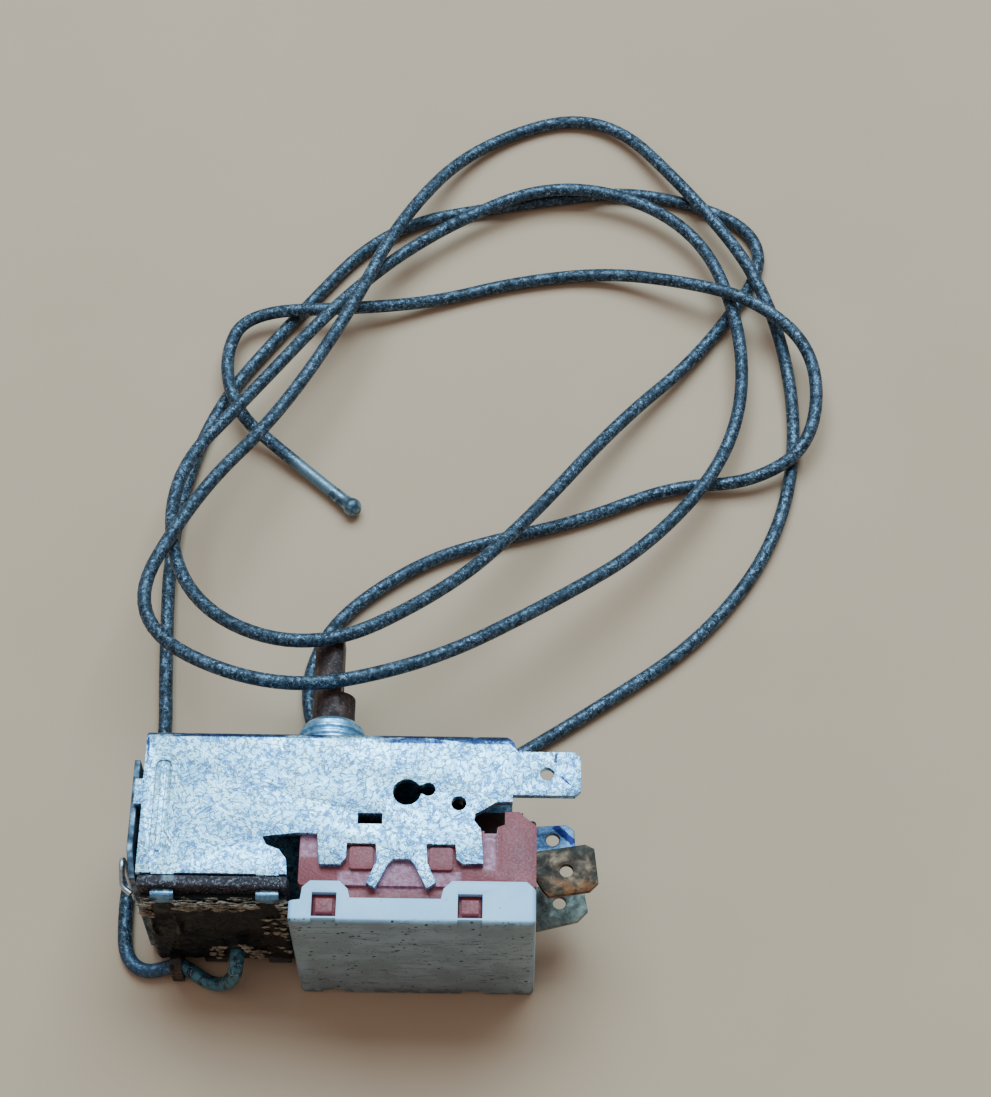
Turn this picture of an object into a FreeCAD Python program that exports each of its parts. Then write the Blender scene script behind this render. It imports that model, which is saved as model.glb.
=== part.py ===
import FreeCAD, Part

import math
import os

# Capillary thermostat for a refrigerator, lying on one side plate.
#
# Working frame, in millimetres: the bench top is z = 0, the outer face of the U-frame's web is y = 0,
# the web's left end is x = 0, and the control shaft points along +Y. Every solid is shifted at the
# end, so that the stored origin is at the middle of the body's footprint, on the bench.

Vec = FreeCAD.Vector
X_AXIS = Vec(1, 0, 0)
Y_AXIS = Vec(0, 1, 0)
Z_AXIS = Vec(0, 0, 1)

# ---------------------------------------------------------------- driving dimensions
THICK = 26.0            # body thickness, from one side plate to the other
MID_Z = THICK / 2.0
SHEET = 1.0             # frame steel
BEND = 1.15             # outer bend radius of the U-frame
WEB_LENGTH = 48.0       # mounting face, along X
PLATE_DEPTH = 20.5      # side plates, along Y
TAB_WIDTH = 6.3         # standard flat blade
TAB_TIP = 58.0          # end of the earth blade
UPPER_LUGS = (2.1, 15.8)  # left edges of the lugs folded over the cup, on each side plate
LOWER_LUGS = (7.0, 15.8)
LUG_WIDTH = 3.0
LUG_SHEET = 0.8
LUG_FRONT = -23.4
LUG_LOW = 22.0           # how far down the cup's front a lug reaches

SHAFT_X = 23.7
SHAFT_R = 3.0
SHAFT_TIP = 21.0
SHAFT_ROOT = -5.6
SHAFT_FLAT_Y = 11.3     # the round part ends here
SHAFT_FLAT = 1.1        # distance of the flat from the axis
GROOVE_R = 2.6          # bottom of the retaining ring's groove
CLIP_R = 5.0
CLIP_Y0 = -3.2
CLIP_Y1 = -2.65
BUSH_R = 4.75
BUSH_TIP = 7.0
BUSH_CHAMFER = 1.0
SPIGOT_R = 4.2          # the bushing's seat in the web
BUSH_SEAT = -2.2        # inner face of the bushing's flange
RUNNING = 0.05          # radial clearance of every turning or sliding fit

CAM_LOW = 4.8           # cam radius at the rest end
CAM_RISE = 1.2
CAM_TURN = 270.0        # degrees of shaft travel
CAM_Y0 = -5.5
CAM_WIDTH = 2.25
NOSE_R = 1.0            # cam follower
GAP = 0.1               # gap between pieces that push on each other
RANGE_X = 15.9
RANGE_Z = 20.0
TAIL_X = 15.3
TAIL_Z = 23.0
RANGE_Y0 = -5.2
RANGE_Y1 = -3.6
RANGE_POST_R = 1.2
SPRING_X0 = 6.6
SPRING_X1 = 14.1

SCREW_X = 41.0
SCREW_Z = (8.0, 18.0)   # differential screw, range screw
SCREW_R = 1.25

LEVER_PIN_X = 3.0
LEVER_PIN_Y = -8.1
LEVER_PIN_R = 0.8
LEVER_Y0 = -8.5
LEVER_Y1 = -7.7
LEVER_END = 30.0
BELLOWS_X = 11.0
BELLOWS_R = 7.5
BELLOWS_TOP = -12.6
BELLOWS_FOOT = -20.5
CUP_FRONT = -22.4
PORT_R = 1.6            # hole in the cup for the capillary
PUSH_X = 28.0
PUSH_R = 0.9

BASE_X0 = 21.2
BASE_X1 = 52.2
BASE_BACK = -9.0
BASE_FRONT = -21.5
CAP_X0 = 20.2
CAP_FRONT = -27.1
CAP_WALL = 1.0
BACK_HIGH = 17.5        # the base's height behind the contacts
ROOF_HIGH = 20.6        # and over the fixed contact's foot
BACK_Y = -13.6          # where the base's full height begins
BLADE_Y = -14.3
BLADE_PIVOT_X = 45.75
BLADE_HALF = 0.15       # half the snap blade's thickness
CONTACT_X = 31.2
WINDOW_X = (23.7, 42.6) # left edges of the catches in the cap's windows
TERMINAL_HALF = 0.4     # half the blade terminals' thickness
ZINC_Z = 17.0
BROWN_Z = 20.0
GREY_Z = 8.0
RIVET_R = 0.8
BROWN_RIVET = (48.6, -17.0)
GREY_RIVET = (48.6, -17.6)

HOOK_X = -2.25          # hairpin wire at the left end
HOOK_R = 0.4
TERMINAL_TIP = 60.45    # right-hand end of the longest terminal

TUBE_R = 1.0
FERRULE_FRONT = -24.2

ORIGIN = Vec((HOOK_X - HOOK_R + TERMINAL_TIP) / 2, (SHAFT_TIP + CAP_FRONT) / 2, 0)

# The capillary's route, hand-laid: out of the bellows, a small loop in front, back along the left
# side, then two and a half loose turns behind the body that lean on the shaft, and the sealed tip.
ROUTE = [
    (12.0, -24.2, 7.7), (12.0, -26.0, 7.7), (11.6, -27.1, 6.0), (10.4, -27.3, 3.6),
    (8.9, -26.8, 1.8), (7.2, -26.1, 1.1), (5.3, -24.8, 1.3), (3.6, -24.3, 2.8),
    (1.5, -24.4, 1.4), (-0.7, -24.9, 1.1), (-2.8, -24.2, 1.1), (-4.3, -22.0, 1.1),
    (-4.7, -18.0, 1.1), (-4.8, -12.5, 1.1), (-3.4, -1.5, 1.1),
    (-1.2, 9.0, 1.1), (-2.4, 22.5, 1.1), (-3.5, 45.0, 1.1), (1.0, 67.0, 1.1),
    (13.0, 84.8, 1.1), (27.0, 103.5, 1.1), (47.5, 108.2, 1.1), (70.0, 112.0, 1.1),
    (91.5, 101.5, 1.1), (78.0, 79.0, 1.3), (64.5, 64.5, 3.8), (51.0, 45.0, 7.2),
    (39.5, 30.0, 12.0), (20.5, 15.0, 19.2), (1.0, 25.5, 14.8), (-3.5, 49.0, 10.2),
    (8.0, 67.0, 6.9), (21.0, 85.5, 6.4), (35.0, 101.0, 3.5), (55.5, 112.0, 3.6),
    (77.0, 103.5, 3.4), (84.5, 81.5, 3.7), (82.5, 60.0, 4.0), (69.5, 41.5, 6.1),
    (53.5, 28.0, 11.0), (36.0, 15.0, 16.6), (15.0, 9.5, 18.4), (-7.0, 21.0, 17.2),
    (1.5, 44.0, 14.0), (12.5, 61.0, 9.6), (22.5, 81.0, 8.8), (29.5, 101.0, 6.6),
    (41.0, 120.5, 1.2), (62.0, 128.5, 1.1), (77.0, 108.5, 3.7), (88.0, 90.5, 3.9),
    (92.5, 69.0, 1.1), (89.5, 47.0, 1.1), (77.5, 28.5, 1.1), (59.5, 15.3, 1.1),
    (50.5, 9.2, 1.1), (44.0, 5.0, 1.1), (35.5, 4.0, 1.1), (27.5, 4.2, 1.1),
    (21.8, 8.2, 1.1), (19.0, 15.0, 1.1), (18.8, 22.0, 1.1), (22.5, 31.0, 1.1),
    (34.5, 40.5, 1.1), (45.5, 44.5, 1.1), (58.5, 48.0, 1.1), (72.5, 54.5, 1.1),
    (85.0, 54.5, 2.4), (94.5, 61.0, 3.9), (95.5, 77.0, 5.0), (86.0, 86.0, 6.6),
    (74.0, 91.0, 4.3), (62.0, 94.5, 1.3), (48.0, 92.5, 1.1), (35.5, 88.5, 1.2),
    (23.5, 85.0, 4.1), (5.5, 85.0, 2.8), (2.5, 75.5, 3.1), (5.5, 65.0, 3.7),
    (12.5, 59.5, 2.0), (18.5, 54.5, 1.3), (23.0, 50.5, 1.5),
]


# ---------------------------------------------------------------- helpers
def box(x0, x1, y0, y1, z0, z1):
    return Part.makeBox(x1 - x0, y1 - y0, z1 - z0, Vec(x0, y0, z0))


def rod_y(x, z, radius, y0, y1):
    return Part.makeCylinder(radius, y1 - y0, Vec(x, y0, z), Y_AXIS)


def rod_z(x, y, radius, z0, z1):
    return Part.makeCylinder(radius, z1 - z0, Vec(x, y, z0), Z_AXIS)


def prism_z(points, z0, z1):
    """A closed outline in the XY plane, raised from z0 to z1."""
    corners = [Vec(x, y, z0) for x, y in points]
    face = Part.Face(Part.makePolygon(corners + corners[:1]))
    return face.extrude(Vec(0, 0, z1 - z0))


def prism_y(points, y0, y1):
    """A closed outline of (x, z) points, raised from y0 to y1."""
    corners = [Vec(x, y0, z) for x, z in points]
    face = Part.Face(Part.makePolygon(corners + corners[:1]))
    return face.extrude(Vec(0, y1 - y0, 0))


def join(shapes):
    result = shapes[0]
    for shape in shapes[1:]:
        result = result.fuse(shape)
    return result.removeSplitter()


def cut_all(shape, tools):
    for tool in tools:
        shape = shape.cut(tool)
    return shape


def round_edges(shape, radius, wanted):
    """Fillet the straight edges for which wanted(centre, direction) is true."""
    edges = []
    for edge in shape.Edges:
        if isinstance(edge.Curve, Part.Line):
            direction = edge.Curve.Direction
            if wanted(edge.CenterOfMass, direction):
                edges.append(edge)
    return shape.makeFillet(radius, edges)


def upright(centre, direction):
    return abs(direction.z) > 0.99


def mirror_z(shape):
    """The same shape on the lower side plate."""
    return shape.mirror(Vec(0, 0, MID_Z), Z_AXIS)


# ---------------------------------------------------------------- U-frame
def plate_outline():
    """Side plate with its two switch legs, its splayed hooks and its end notch."""
    return [
        (0.0, 0.0), (WEB_LENGTH, 0.0), (49.1, -1.2), (49.6, -2.5), (49.6, -8.8), (49.0, -8.8),
        (49.0, -9.8), (46.8, -9.9), (45.5, -10.8), (44.1, -11.6), (44.0, -12.6), (44.9, -13.7),
        (45.3, -18.6), (42.6, -18.7), (41.8, -18.0),
        (41.6, -16.0), (37.8, -16.0), (38.0, -18.6), (39.2, -21.3), (38.0, -22.2),
        (36.3, -18.8), (35.6, -18.1), (33.6, -18.1), (32.9, -18.8), (31.3, -22.2),
        (30.1, -21.5), (31.4, -18.4), (31.2, -16.0), (27.4, -16.0), (27.4, -18.0),
        (26.7, -19.0), (23.9, -19.0), (23.5, -14.7), (21.1, -14.6), (16.3, -15.2),
        (16.9, -16.4), (18.6, -17.0), (19.6, -18.4), (19.8, -PLATE_DEPTH), (0.1, -PLATE_DEPTH),
        (0.1, -10.8), (-1.0, -10.8), (-1.0, -7.2), (0.0, -7.2),
    ]


def earth_tab():
    """Flat blade on the upper plate, with clipped corners and a detent hole."""
    back = -2.5
    front = back - TAB_WIDTH
    clip = 0.8
    outline = [
        (49.0, back), (TAB_TIP - clip, back), (TAB_TIP, back - clip), (TAB_TIP, front + clip),
        (TAB_TIP - clip, front), (49.0, front),
    ]
    blade = prism_z(outline, THICK - SHEET, THICK)
    return blade.cut(rod_z(53.5, -5.7, 0.95, 0, THICK + 1))


def channel_profile():
    """The bent U section: web at y = 0 and a side plate at each end of z."""
    depth = -30.0
    inner = BEND - SHEET
    cos45 = math.cos(math.pi / 4)

    def corner(radius, z_centre, sign):
        start = Vec(0, -BEND, z_centre + sign * radius)
        mid = Vec(0, -BEND + radius * cos45, z_centre + sign * radius * cos45)
        end = Vec(0, -BEND + radius, z_centre)
        return start, mid, end

    low_z = BEND
    high_z = THICK - BEND
    outer_low = corner(BEND, low_z, -1)
    outer_high = corner(BEND, high_z, 1)
    inner_low = corner(inner, low_z, -1)
    inner_high = corner(inner, high_z, 1)
    edges = [
        Part.LineSegment(Vec(0, depth, 0), outer_low[0]).toShape(),
        Part.Arc(*outer_low).toShape(),
        Part.LineSegment(outer_low[2], outer_high[2]).toShape(),
        Part.Arc(*outer_high).toShape(),
        Part.LineSegment(outer_high[0], Vec(0, depth, THICK)).toShape(),
        Part.LineSegment(Vec(0, depth, THICK), Vec(0, depth, THICK - SHEET)).toShape(),
        Part.LineSegment(Vec(0, depth, THICK - SHEET), inner_high[0]).toShape(),
        Part.Arc(*inner_high).toShape(),
        Part.LineSegment(inner_high[2], inner_low[2]).toShape(),
        Part.Arc(*inner_low).toShape(),
        Part.LineSegment(inner_low[0], Vec(0, depth, SHEET)).toShape(),
        Part.LineSegment(Vec(0, depth, SHEET), Vec(0, depth, 0)).toShape(),
    ]
    return Part.Face(Part.Wire(Part.__sortEdges__(edges)))


def crimp_lug(x):
    """A lug that comes over the bellows flange and is folded down its front."""
    right = x + LUG_WIDTH
    high = THICK - 1.0
    top = box(x, right, LUG_FRONT + 0.4, -PLATE_DEPTH, high - LUG_SHEET, high)
    drop = box(x, right, LUG_FRONT, LUG_FRONT + LUG_SHEET, LUG_LOW, high)
    lug = join([top, drop])
    lug = round_edges(lug, 0.6, lambda c, d: abs(d.x) > 0.99 and c.y < LUG_FRONT + 0.1 and c.z > high - 0.1)
    lug = round_edges(lug, 1.0, lambda c, d: abs(d.y) > 0.99 and c.z < LUG_LOW + 0.1)
    neck = box(x, right, -PLATE_DEPTH - 0.2, -PLATE_DEPTH + 0.6, high - LUG_SHEET, THICK)
    return join([lug, neck])


def pressed_rib():
    """The double line pressed into the upper plate near its left end."""
    floor = THICK - 0.25
    outer = box(1.6, 3.7, -18.2, -4.4, floor, THICK + 1)
    inner = box(2.3, 3.0, -17.4, -5.2, floor, THICK + 1)
    return round_edges(outer, 0.9, upright).cut(round_edges(inner, 0.3, upright))


def frame():
    body = channel_profile().extrude(Vec(WEB_LENGTH + 16, 0, 0))
    body.translate(Vec(-4, 0, 0))
    footprint = prism_z(plate_outline(), -1, THICK + 1)
    body = body.common(footprint)
    keyhole = join([rod_z(35.0, -8.6, 1.85, MID_Z, THICK + 1), rod_z(37.8, -8.15, 0.95, MID_Z, THICK + 1),
                    box(35.0, 37.8, -8.8, -7.6, MID_Z, THICK + 1)])
    holes = [
        rod_y(SHAFT_X, MID_Z, SPIGOT_R, -2, 1),
        rod_y(SHAFT_X, MID_Z, BUSH_R + RUNNING, -0.4, 1),
        keyhole,
        rod_z(41.9, -10.1, 1.0, -1, THICK + 1),
        box(28.7, 31.9, -13.2, -11.7, -1, THICK + 1),
        pressed_rib(),
    ]
    holes += [screw(z) for z in SCREW_Z]
    body = cut_all(body, holes)
    upper = [crimp_lug(x) for x in UPPER_LUGS]
    lower = [mirror_z(crimp_lug(x)) for x in LOWER_LUGS]
    return join([body, earth_tab()] + upper + lower)


# ---------------------------------------------------------------- adjusting screws
def screw(z):
    """A countersunk screw, flush with the mounting face."""
    head = Part.makeCone(SCREW_R, 2.2, 0.9, Vec(SCREW_X, -0.95, z), Y_AXIS)
    return join([rod_y(SCREW_X, z, SCREW_R, -7.0, -0.5), head])


def slotted_screw(z):
    slot_half = 0.25
    return screw(z).cut(box(SCREW_X - 3, SCREW_X + 3, -0.5, 1, z - slot_half, z + slot_half))


def screw_block():
    """Threaded block behind the mounting face."""
    block = box(38.2, 43.8, -5.5, -SHEET, 4.0, 22.0)
    block = round_edges(block, 0.6, lambda c, d: abs(d.y) > 0.99)
    return cut_all(block, [screw(z) for z in SCREW_Z])


# ---------------------------------------------------------------- left end
def end_plate():
    """Strip that closes the left end, caught under the side plates' small tabs."""
    outline = [(-1.5, -4.0), (-0.7, -4.0), (-0.7, -16.6), (0.0, -21.0), (-0.8, -21.0), (-1.5, -16.8)]
    return prism_z(outline, SHEET, THICK - SHEET)


def wire_hook():
    """Hairpin of bright wire that leans forward over the end strip."""
    back = -17.2
    corners = [Vec(HOOK_X, back, 9.0), Vec(HOOK_X, back, 23.8), Vec(HOOK_X + 0.1, -20.7, 21.4),
               Vec(-0.9, -21.6, 21.3)]
    return round_wire(corners, HOOK_R)


# ---------------------------------------------------------------- power element
def flange_lip(lugs):
    """The flange's turned-up edge, with a low passage for each lug."""
    front = CUP_FRONT + 0.1
    lip = box(0.3, 19.9, front, -20.75, THICK - 2.0, THICK - 0.1)
    lip = round_edges(lip, 0.4, lambda c, d: abs(d.x) > 0.99 and c.y < front + 0.1 and c.z > THICK - 1)
    passages = [box(x - 0.1, x + LUG_WIDTH + 0.1, -23, -20, THICK - 1.8, THICK - 0.95) for x in lugs]
    return cut_all(lip, passages)


def bellows_cup():
    """Flanged steel cup over the open front of the frame."""
    flange = box(0.3, 20.0, CUP_FRONT, -PLATE_DEPTH, 2.0, THICK - 1.8)
    flange = round_edges(flange, 0.5, lambda c, d: abs(d.x) > 0.99)
    pocket = rod_y(BELLOWS_X, MID_Z, BELLOWS_R + 0.3, -21.6, -20)
    lips = [flange_lip(UPPER_LUGS), mirror_z(flange_lip(LOWER_LUGS))]
    return cut_all(join([flange] + lips), [pocket, exit_rod(PORT_R, -24, -20)])


def exit_rod(radius, y0, y1):
    """A rod along Y round the place where the capillary leaves the cup."""
    return rod_y(ROUTE[0][0], ROUTE[0][2], radius, y0, y1)


def cup_sealant():
    """Black sealing compound over the cup, with a low dome round the capillary."""
    front = CUP_FRONT - 0.8
    skirt = box(0.6, 19.8, front, CUP_FRONT, 2.5, THICK - 2.4)
    skirt = round_edges(skirt, 0.5, lambda c, d: abs(d.y) > 0.99)
    dome_r = 8.2
    depth = 0.8
    ball_r = (dome_r ** 2 + depth ** 2) / (2 * depth)
    ball = Part.makeSphere(ball_r, Vec(BELLOWS_X, front - depth + ball_r, MID_Z))
    dome = ball.common(box(BELLOWS_X - 10, BELLOWS_X + 10, front - 2, front + 0.2, MID_Z - 10, MID_Z + 10))
    pocket_back = LUG_FRONT + LUG_SHEET
    pockets = [box(x, x + LUG_WIDTH, -25, pocket_back, LUG_LOW, THICK) for x in UPPER_LUGS]
    pockets += [mirror_z(box(x, x + LUG_WIDTH, -25, pocket_back, LUG_LOW, THICK)) for x in LOWER_LUGS]
    return cut_all(join([skirt, dome]), pockets + [exit_rod(PORT_R, -25, -20)])


def capillary_ferrule():
    """Brazed collar where the capillary leaves the cup."""
    return exit_rod(PORT_R - RUNNING, FERRULE_FRONT, CUP_FRONT)


def bellows():
    """Corrugated metal bellows, closed at its inner end."""
    count = 5
    pitch = (BELLOWS_TOP - BELLOWS_FOOT) / count
    wall = 0.35
    root = BELLOWS_R - 1.6
    outline = [Vec(0, BELLOWS_TOP, 0), Vec(root, BELLOWS_TOP, 0)]
    for i in range(count):
        top = BELLOWS_TOP - i * pitch
        outline += [Vec(BELLOWS_R, top - 0.3 * pitch, 0), Vec(root, top - pitch, 0)]
    outline += [Vec(root - wall, BELLOWS_FOOT, 0)]
    for i in reversed(range(count)):
        top = BELLOWS_TOP - i * pitch
        outline += [Vec(BELLOWS_R - 2 * wall, top - 0.3 * pitch, 0)]
        if i:
            outline += [Vec(root - wall, top, 0)]
    outline += [Vec(root - 0.6, BELLOWS_TOP - wall, 0), Vec(0, BELLOWS_TOP - wall, 0)]
    face = Part.Face(Part.makePolygon(outline + outline[:1]))
    solid = face.revolve(Vec(0, 0, 0), Y_AXIS, 360)
    solid.translate(Vec(BELLOWS_X, 0, MID_Z))
    return solid


def bellows_stud():
    pad = rod_y(BELLOWS_X, MID_Z, 3.0, BELLOWS_TOP, BELLOWS_TOP + 0.8)
    stem = rod_y(BELLOWS_X, MID_Z, 1.2, BELLOWS_TOP, LEVER_Y0 - GAP)
    return join([pad, stem])


# ---------------------------------------------------------------- shaft and cam
def bushing():
    barrel = rod_y(SHAFT_X, MID_Z, BUSH_R, 0, BUSH_TIP)
    rim = [e for e in barrel.Edges if abs(e.CenterOfMass.y - BUSH_TIP) < 0.01]
    barrel = barrel.makeChamfer(BUSH_CHAMFER, rim)
    spigot = rod_y(SHAFT_X, MID_Z, SPIGOT_R, -SHEET, 0)
    flange = rod_y(SHAFT_X, MID_Z, 6.0, BUSH_SEAT, -SHEET)
    return join([barrel, spigot, flange]).cut(rod_y(SHAFT_X, MID_Z, SHAFT_R + RUNNING, -3, 10))


def groove_ring(outer_r):
    """The ring-shaped space round the bottom of the shaft's groove."""
    full = rod_y(SHAFT_X, MID_Z, outer_r, CLIP_Y0, CLIP_Y1)
    return full.cut(rod_y(SHAFT_X, MID_Z, GROOVE_R, CLIP_Y0 - 1, CLIP_Y1 + 1))


def shaft():
    body = rod_y(SHAFT_X, MID_Z, SHAFT_R, SHAFT_ROOT, SHAFT_TIP)
    body = body.makeChamfer(0.4, [e for e in body.Edges if abs(e.CenterOfMass.y - SHAFT_TIP) < 0.01])
    flat = box(SHAFT_X + SHAFT_FLAT, SHAFT_X + 4, SHAFT_FLAT_Y, SHAFT_TIP + 1, MID_Z - 8, MID_Z + 8)
    return cut_all(body, [flat, groove_ring(CLIP_R)])


def shaft_clip():
    """Open retaining ring in the shaft's groove."""
    mouth = box(SHAFT_X - 1.8, SHAFT_X + 1.8, CLIP_Y0 - 1, CLIP_Y1 + 1, MID_Z - 8, MID_Z)
    return groove_ring(CLIP_R).cut(mouth)


def spring_washer():
    disc = rod_y(SHAFT_X, MID_Z, CLIP_R, CLIP_Y1 + RUNNING, BUSH_SEAT)
    return disc.cut(rod_y(SHAFT_X, MID_Z, SHAFT_R + 0.2, CLIP_Y1, BUSH_SEAT + 1))


def cam_radius(turned):
    """Radius of the cam where it meets the follower after the shaft has turned this far."""
    dwell = 10.0
    drop_end = 330.0
    if turned <= CAM_TURN:
        return CAM_LOW + CAM_RISE * turned / CAM_TURN
    if turned <= CAM_TURN + dwell:
        return CAM_LOW + CAM_RISE
    if turned >= drop_end:
        return CAM_LOW
    share = (turned - CAM_TURN - dwell) / (drop_end - CAM_TURN - dwell)
    return CAM_LOW + CAM_RISE * (1 - share) ** 2 * (1 + 2 * share)


def cam():
    """Edge cam: its radius grows evenly with the shaft's turn."""
    points = []
    step = 10
    for turned in range(0, 360, step):
        angle = math.radians(180 + turned)
        radius = cam_radius(turned)
        points.append(Vec(SHAFT_X + radius * math.cos(angle), CAM_Y0, MID_Z + radius * math.sin(angle)))
    curve = Part.BSplineCurve()
    curve.interpolate(points, PeriodicFlag=True)
    face = Part.Face(Part.Wire([curve.toShape()]))
    disc = face.extrude(Vec(0, CAM_WIDTH, 0))
    return disc.cut(rod_y(SHAFT_X, MID_Z, SHAFT_R, -7, 0))


# ---------------------------------------------------------------- range lever
def link(x0, z0, r0, x1, z1, r1):
    """Flat arm with round ends in the XZ plane."""
    length = math.hypot(x1 - x0, z1 - z0)
    side = Vec(-(z1 - z0) / length, 0, (x1 - x0) / length)
    start = Vec(x0, 0, z0)
    end = Vec(x1, 0, z1)
    sides = [start + side * r0, start - side * r0, end - side * r1, end + side * r1]
    arm = prism_y([(p.x, p.z) for p in sides], RANGE_Y0, RANGE_Y1)
    return join([arm, rod_y(x0, z0, r0, RANGE_Y0, RANGE_Y1), rod_y(x1, z1, r1, RANGE_Y0, RANGE_Y1)])


def range_lever():
    nose_x = SHAFT_X - CAM_LOW - NOSE_R - GAP
    arm = link(RANGE_X, RANGE_Z, 1.0, nose_x, MID_Z, NOSE_R)
    tail = link(RANGE_X, RANGE_Z, 1.0, TAIL_X, TAIL_Z, 1.1)
    boss = rod_y(RANGE_X, RANGE_Z, 2.2, RANGE_Y0, RANGE_Y1)
    bore = rod_y(RANGE_X, RANGE_Z, RANGE_POST_R + RUNNING, -7, 0)
    hook_hole = rod_y(TAIL_X, TAIL_Z, 0.4, -7, 0)
    return cut_all(join([arm, tail, boss]), [bore, hook_hole])


def range_post():
    """Shouldered post that the range lever turns on."""
    return join([
        rod_y(RANGE_X, RANGE_Z, 2.0, RANGE_Y1 + GAP, -SHEET),
        rod_y(RANGE_X, RANGE_Z, RANGE_POST_R, RANGE_Y0 - 0.6, -SHEET),
        rod_y(RANGE_X, RANGE_Z, 1.9, RANGE_Y0 - 0.7, RANGE_Y0 - GAP),
    ])


def range_spring():
    """Close-wound tension spring from the main lever's tab to the range lever's tail."""
    wire = 0.4
    mean_r = 0.8
    length = SPRING_X1 - SPRING_X0
    turns = int(length / wire)
    pitch = length / turns
    outline = [Vec(SPRING_X0, 0, 0)]
    for i in range(turns):
        low = SPRING_X0 + i * pitch
        outline += [Vec(low, mean_r, 0), Vec(low + pitch / 4, mean_r + wire / 2, 0)]
        outline += [Vec(low + 3 * pitch / 4, mean_r + wire / 2, 0)]
    outline += [Vec(SPRING_X1, mean_r, 0), Vec(SPRING_X1, 0, 0)]
    face = Part.Face(Part.makePolygon(outline + outline[:1]))
    coil = face.revolve(Vec(0, 0, 0), X_AXIS, 360)
    coil = coil.cut(Part.makeCylinder(mean_r - wire / 2, length, Vec(SPRING_X0, 0, 0), X_AXIS))
    coil.translate(Vec(0, (RANGE_Y0 + RANGE_Y1) / 2, TAIL_Z))
    return coil


# ---------------------------------------------------------------- main lever
def lever_pin():
    return rod_z(LEVER_PIN_X, LEVER_PIN_Y, LEVER_PIN_R, SHEET, THICK - SHEET)


def main_lever():
    """Sheet lever between the bellows and the switch, hung on the pin at its left end."""
    arm = box(LEVER_PIN_X, LEVER_END, LEVER_Y0, LEVER_Y1, 10.0, 16.0)
    post = box(LEVER_PIN_X, 7.4, LEVER_Y0, LEVER_Y1, 5.0, 24.2)
    tab = box(5.4, 6.2, LEVER_Y1, -3.4, 21.8, 24.2)
    knuckle = rod_z(LEVER_PIN_X, LEVER_PIN_Y, 1.5, 5.0, 21.0)
    lever = join([arm, post, tab, knuckle])
    bore = rod_z(LEVER_PIN_X, LEVER_PIN_Y, LEVER_PIN_R + RUNNING, 0, THICK)
    clearance = box(0, LEVER_PIN_X + 1.6, LEVER_Y0 - 1, -3, 21.0, THICK)
    hook_hole = Part.makeCylinder(0.4, 4, Vec(4.4, (RANGE_Y0 + RANGE_Y1) / 2, TAIL_Z), X_AXIS)
    return cut_all(lever, [bore, clearance, hook_hole])


# ---------------------------------------------------------------- switch
def push_pin():
    return rod_y(PUSH_X, MID_Z, PUSH_R, BLADE_Y + BLADE_HALF + GAP, LEVER_Y0 - GAP)


def snap_blade():
    return box(26.5, BLADE_PIVOT_X - BLADE_HALF, BLADE_Y - BLADE_HALF, BLADE_Y + BLADE_HALF, 10.5, 15.5)


def moving_contact():
    return rod_y(CONTACT_X, MID_Z, 1.3, BLADE_Y + BLADE_HALF, BLADE_Y + 0.7)


def toggle_spring():
    """Small bowed spring on the back of the blade."""
    x = 41.0
    back = BLADE_Y - BLADE_HALF
    outer = rod_z(x, back, 2.2, 11.5, 14.5)
    inner = rod_z(x, back, 1.9, 11, 15)
    front = box(x - 3, x + 3, back - 4, back, 11, 15)
    return outer.cut(inner).common(front)


def fixed_contact():
    """Contact rivet on its strip, which is fixed to the upper blade terminal."""
    strip = box(29.6, 46.5, -11.5, -11.0, 11.5, 14.5)
    riser = box(43.8, 46.5, -11.5, -11.0, 11.5, 19.6)
    foot = box(43.8, 49.5, -15.3, -11.0, 19.1, 19.6)
    button = rod_y(CONTACT_X, MID_Z, 1.5, -12.2, -11.5)
    return join([strip, riser, foot, button])


def terminal(outline, z, hole, rivet):
    blade = prism_z(outline, z - TERMINAL_HALF, z + TERMINAL_HALF)
    tools = [rod_z(hole[0], hole[1], 0.9, z - 2, z + 2)]
    if rivet:
        tools.append(rod_z(rivet[0], rivet[1], RIVET_R, z - 2, z + 2))
    return cut_all(blade, tools)


def terminal_zinc():
    outline = [(47.2, -14.2), (52.2, -14.2), (56.6, -14.0), (57.5, -13.0), (57.3, -10.0),
               (56.2, -9.2), (52.2, -9.5), (47.2, -12.4)]
    return terminal(outline, ZINC_Z, (54.4, -11.4), None)


def terminal_brown():
    outline = [(47.0, -18.4), (52.2, -18.4), (53.0, -19.8), (53.9, -20.8), (59.3, -19.9), (60.45, -18.7),
               (59.9, -13.9), (58.7, -13.3), (52.2, -14.4), (47.0, -15.4)]
    return terminal(outline, BROWN_Z, (56.2, -17.1), BROWN_RIVET)


def terminal_grey():
    outline = [(47.0, -18.8), (50.4, -20.6), (52.6, -20.8), (58.0, -19.4), (59.4, -17.9), (58.7, -14.2),
               (57.4, -13.2), (52.2, -14.6), (45.9, -14.6), (45.9, -17.6)]
    blade = terminal(outline, GREY_Z, (55.5, -16.8), GREY_RIVET)
    anchor = box(BLADE_PIVOT_X + BLADE_HALF, 47.4, -15.0, -13.8, GREY_Z - TERMINAL_HALF, 16.0)
    return join([blade, anchor])


def terminal_rivets():
    """Two rivets that hold the blade terminals to the switch base."""
    rivets = []
    for (x, y), z, wall, sign in ((BROWN_RIVET, BROWN_Z, 24.5, -1), (GREY_RIVET, GREY_Z, 1.5, 1)):
        face = z + sign * TERMINAL_HALF
        head = face + sign * 0.6
        shank = rod_z(x, y, RIVET_R, min(wall, head), max(wall, head))
        cap = rod_z(x, y, 1.6, min(face, head), max(face, head))
        rivets.append(join([shank, cap]))
    return Part.makeCompound(rivets)


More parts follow.
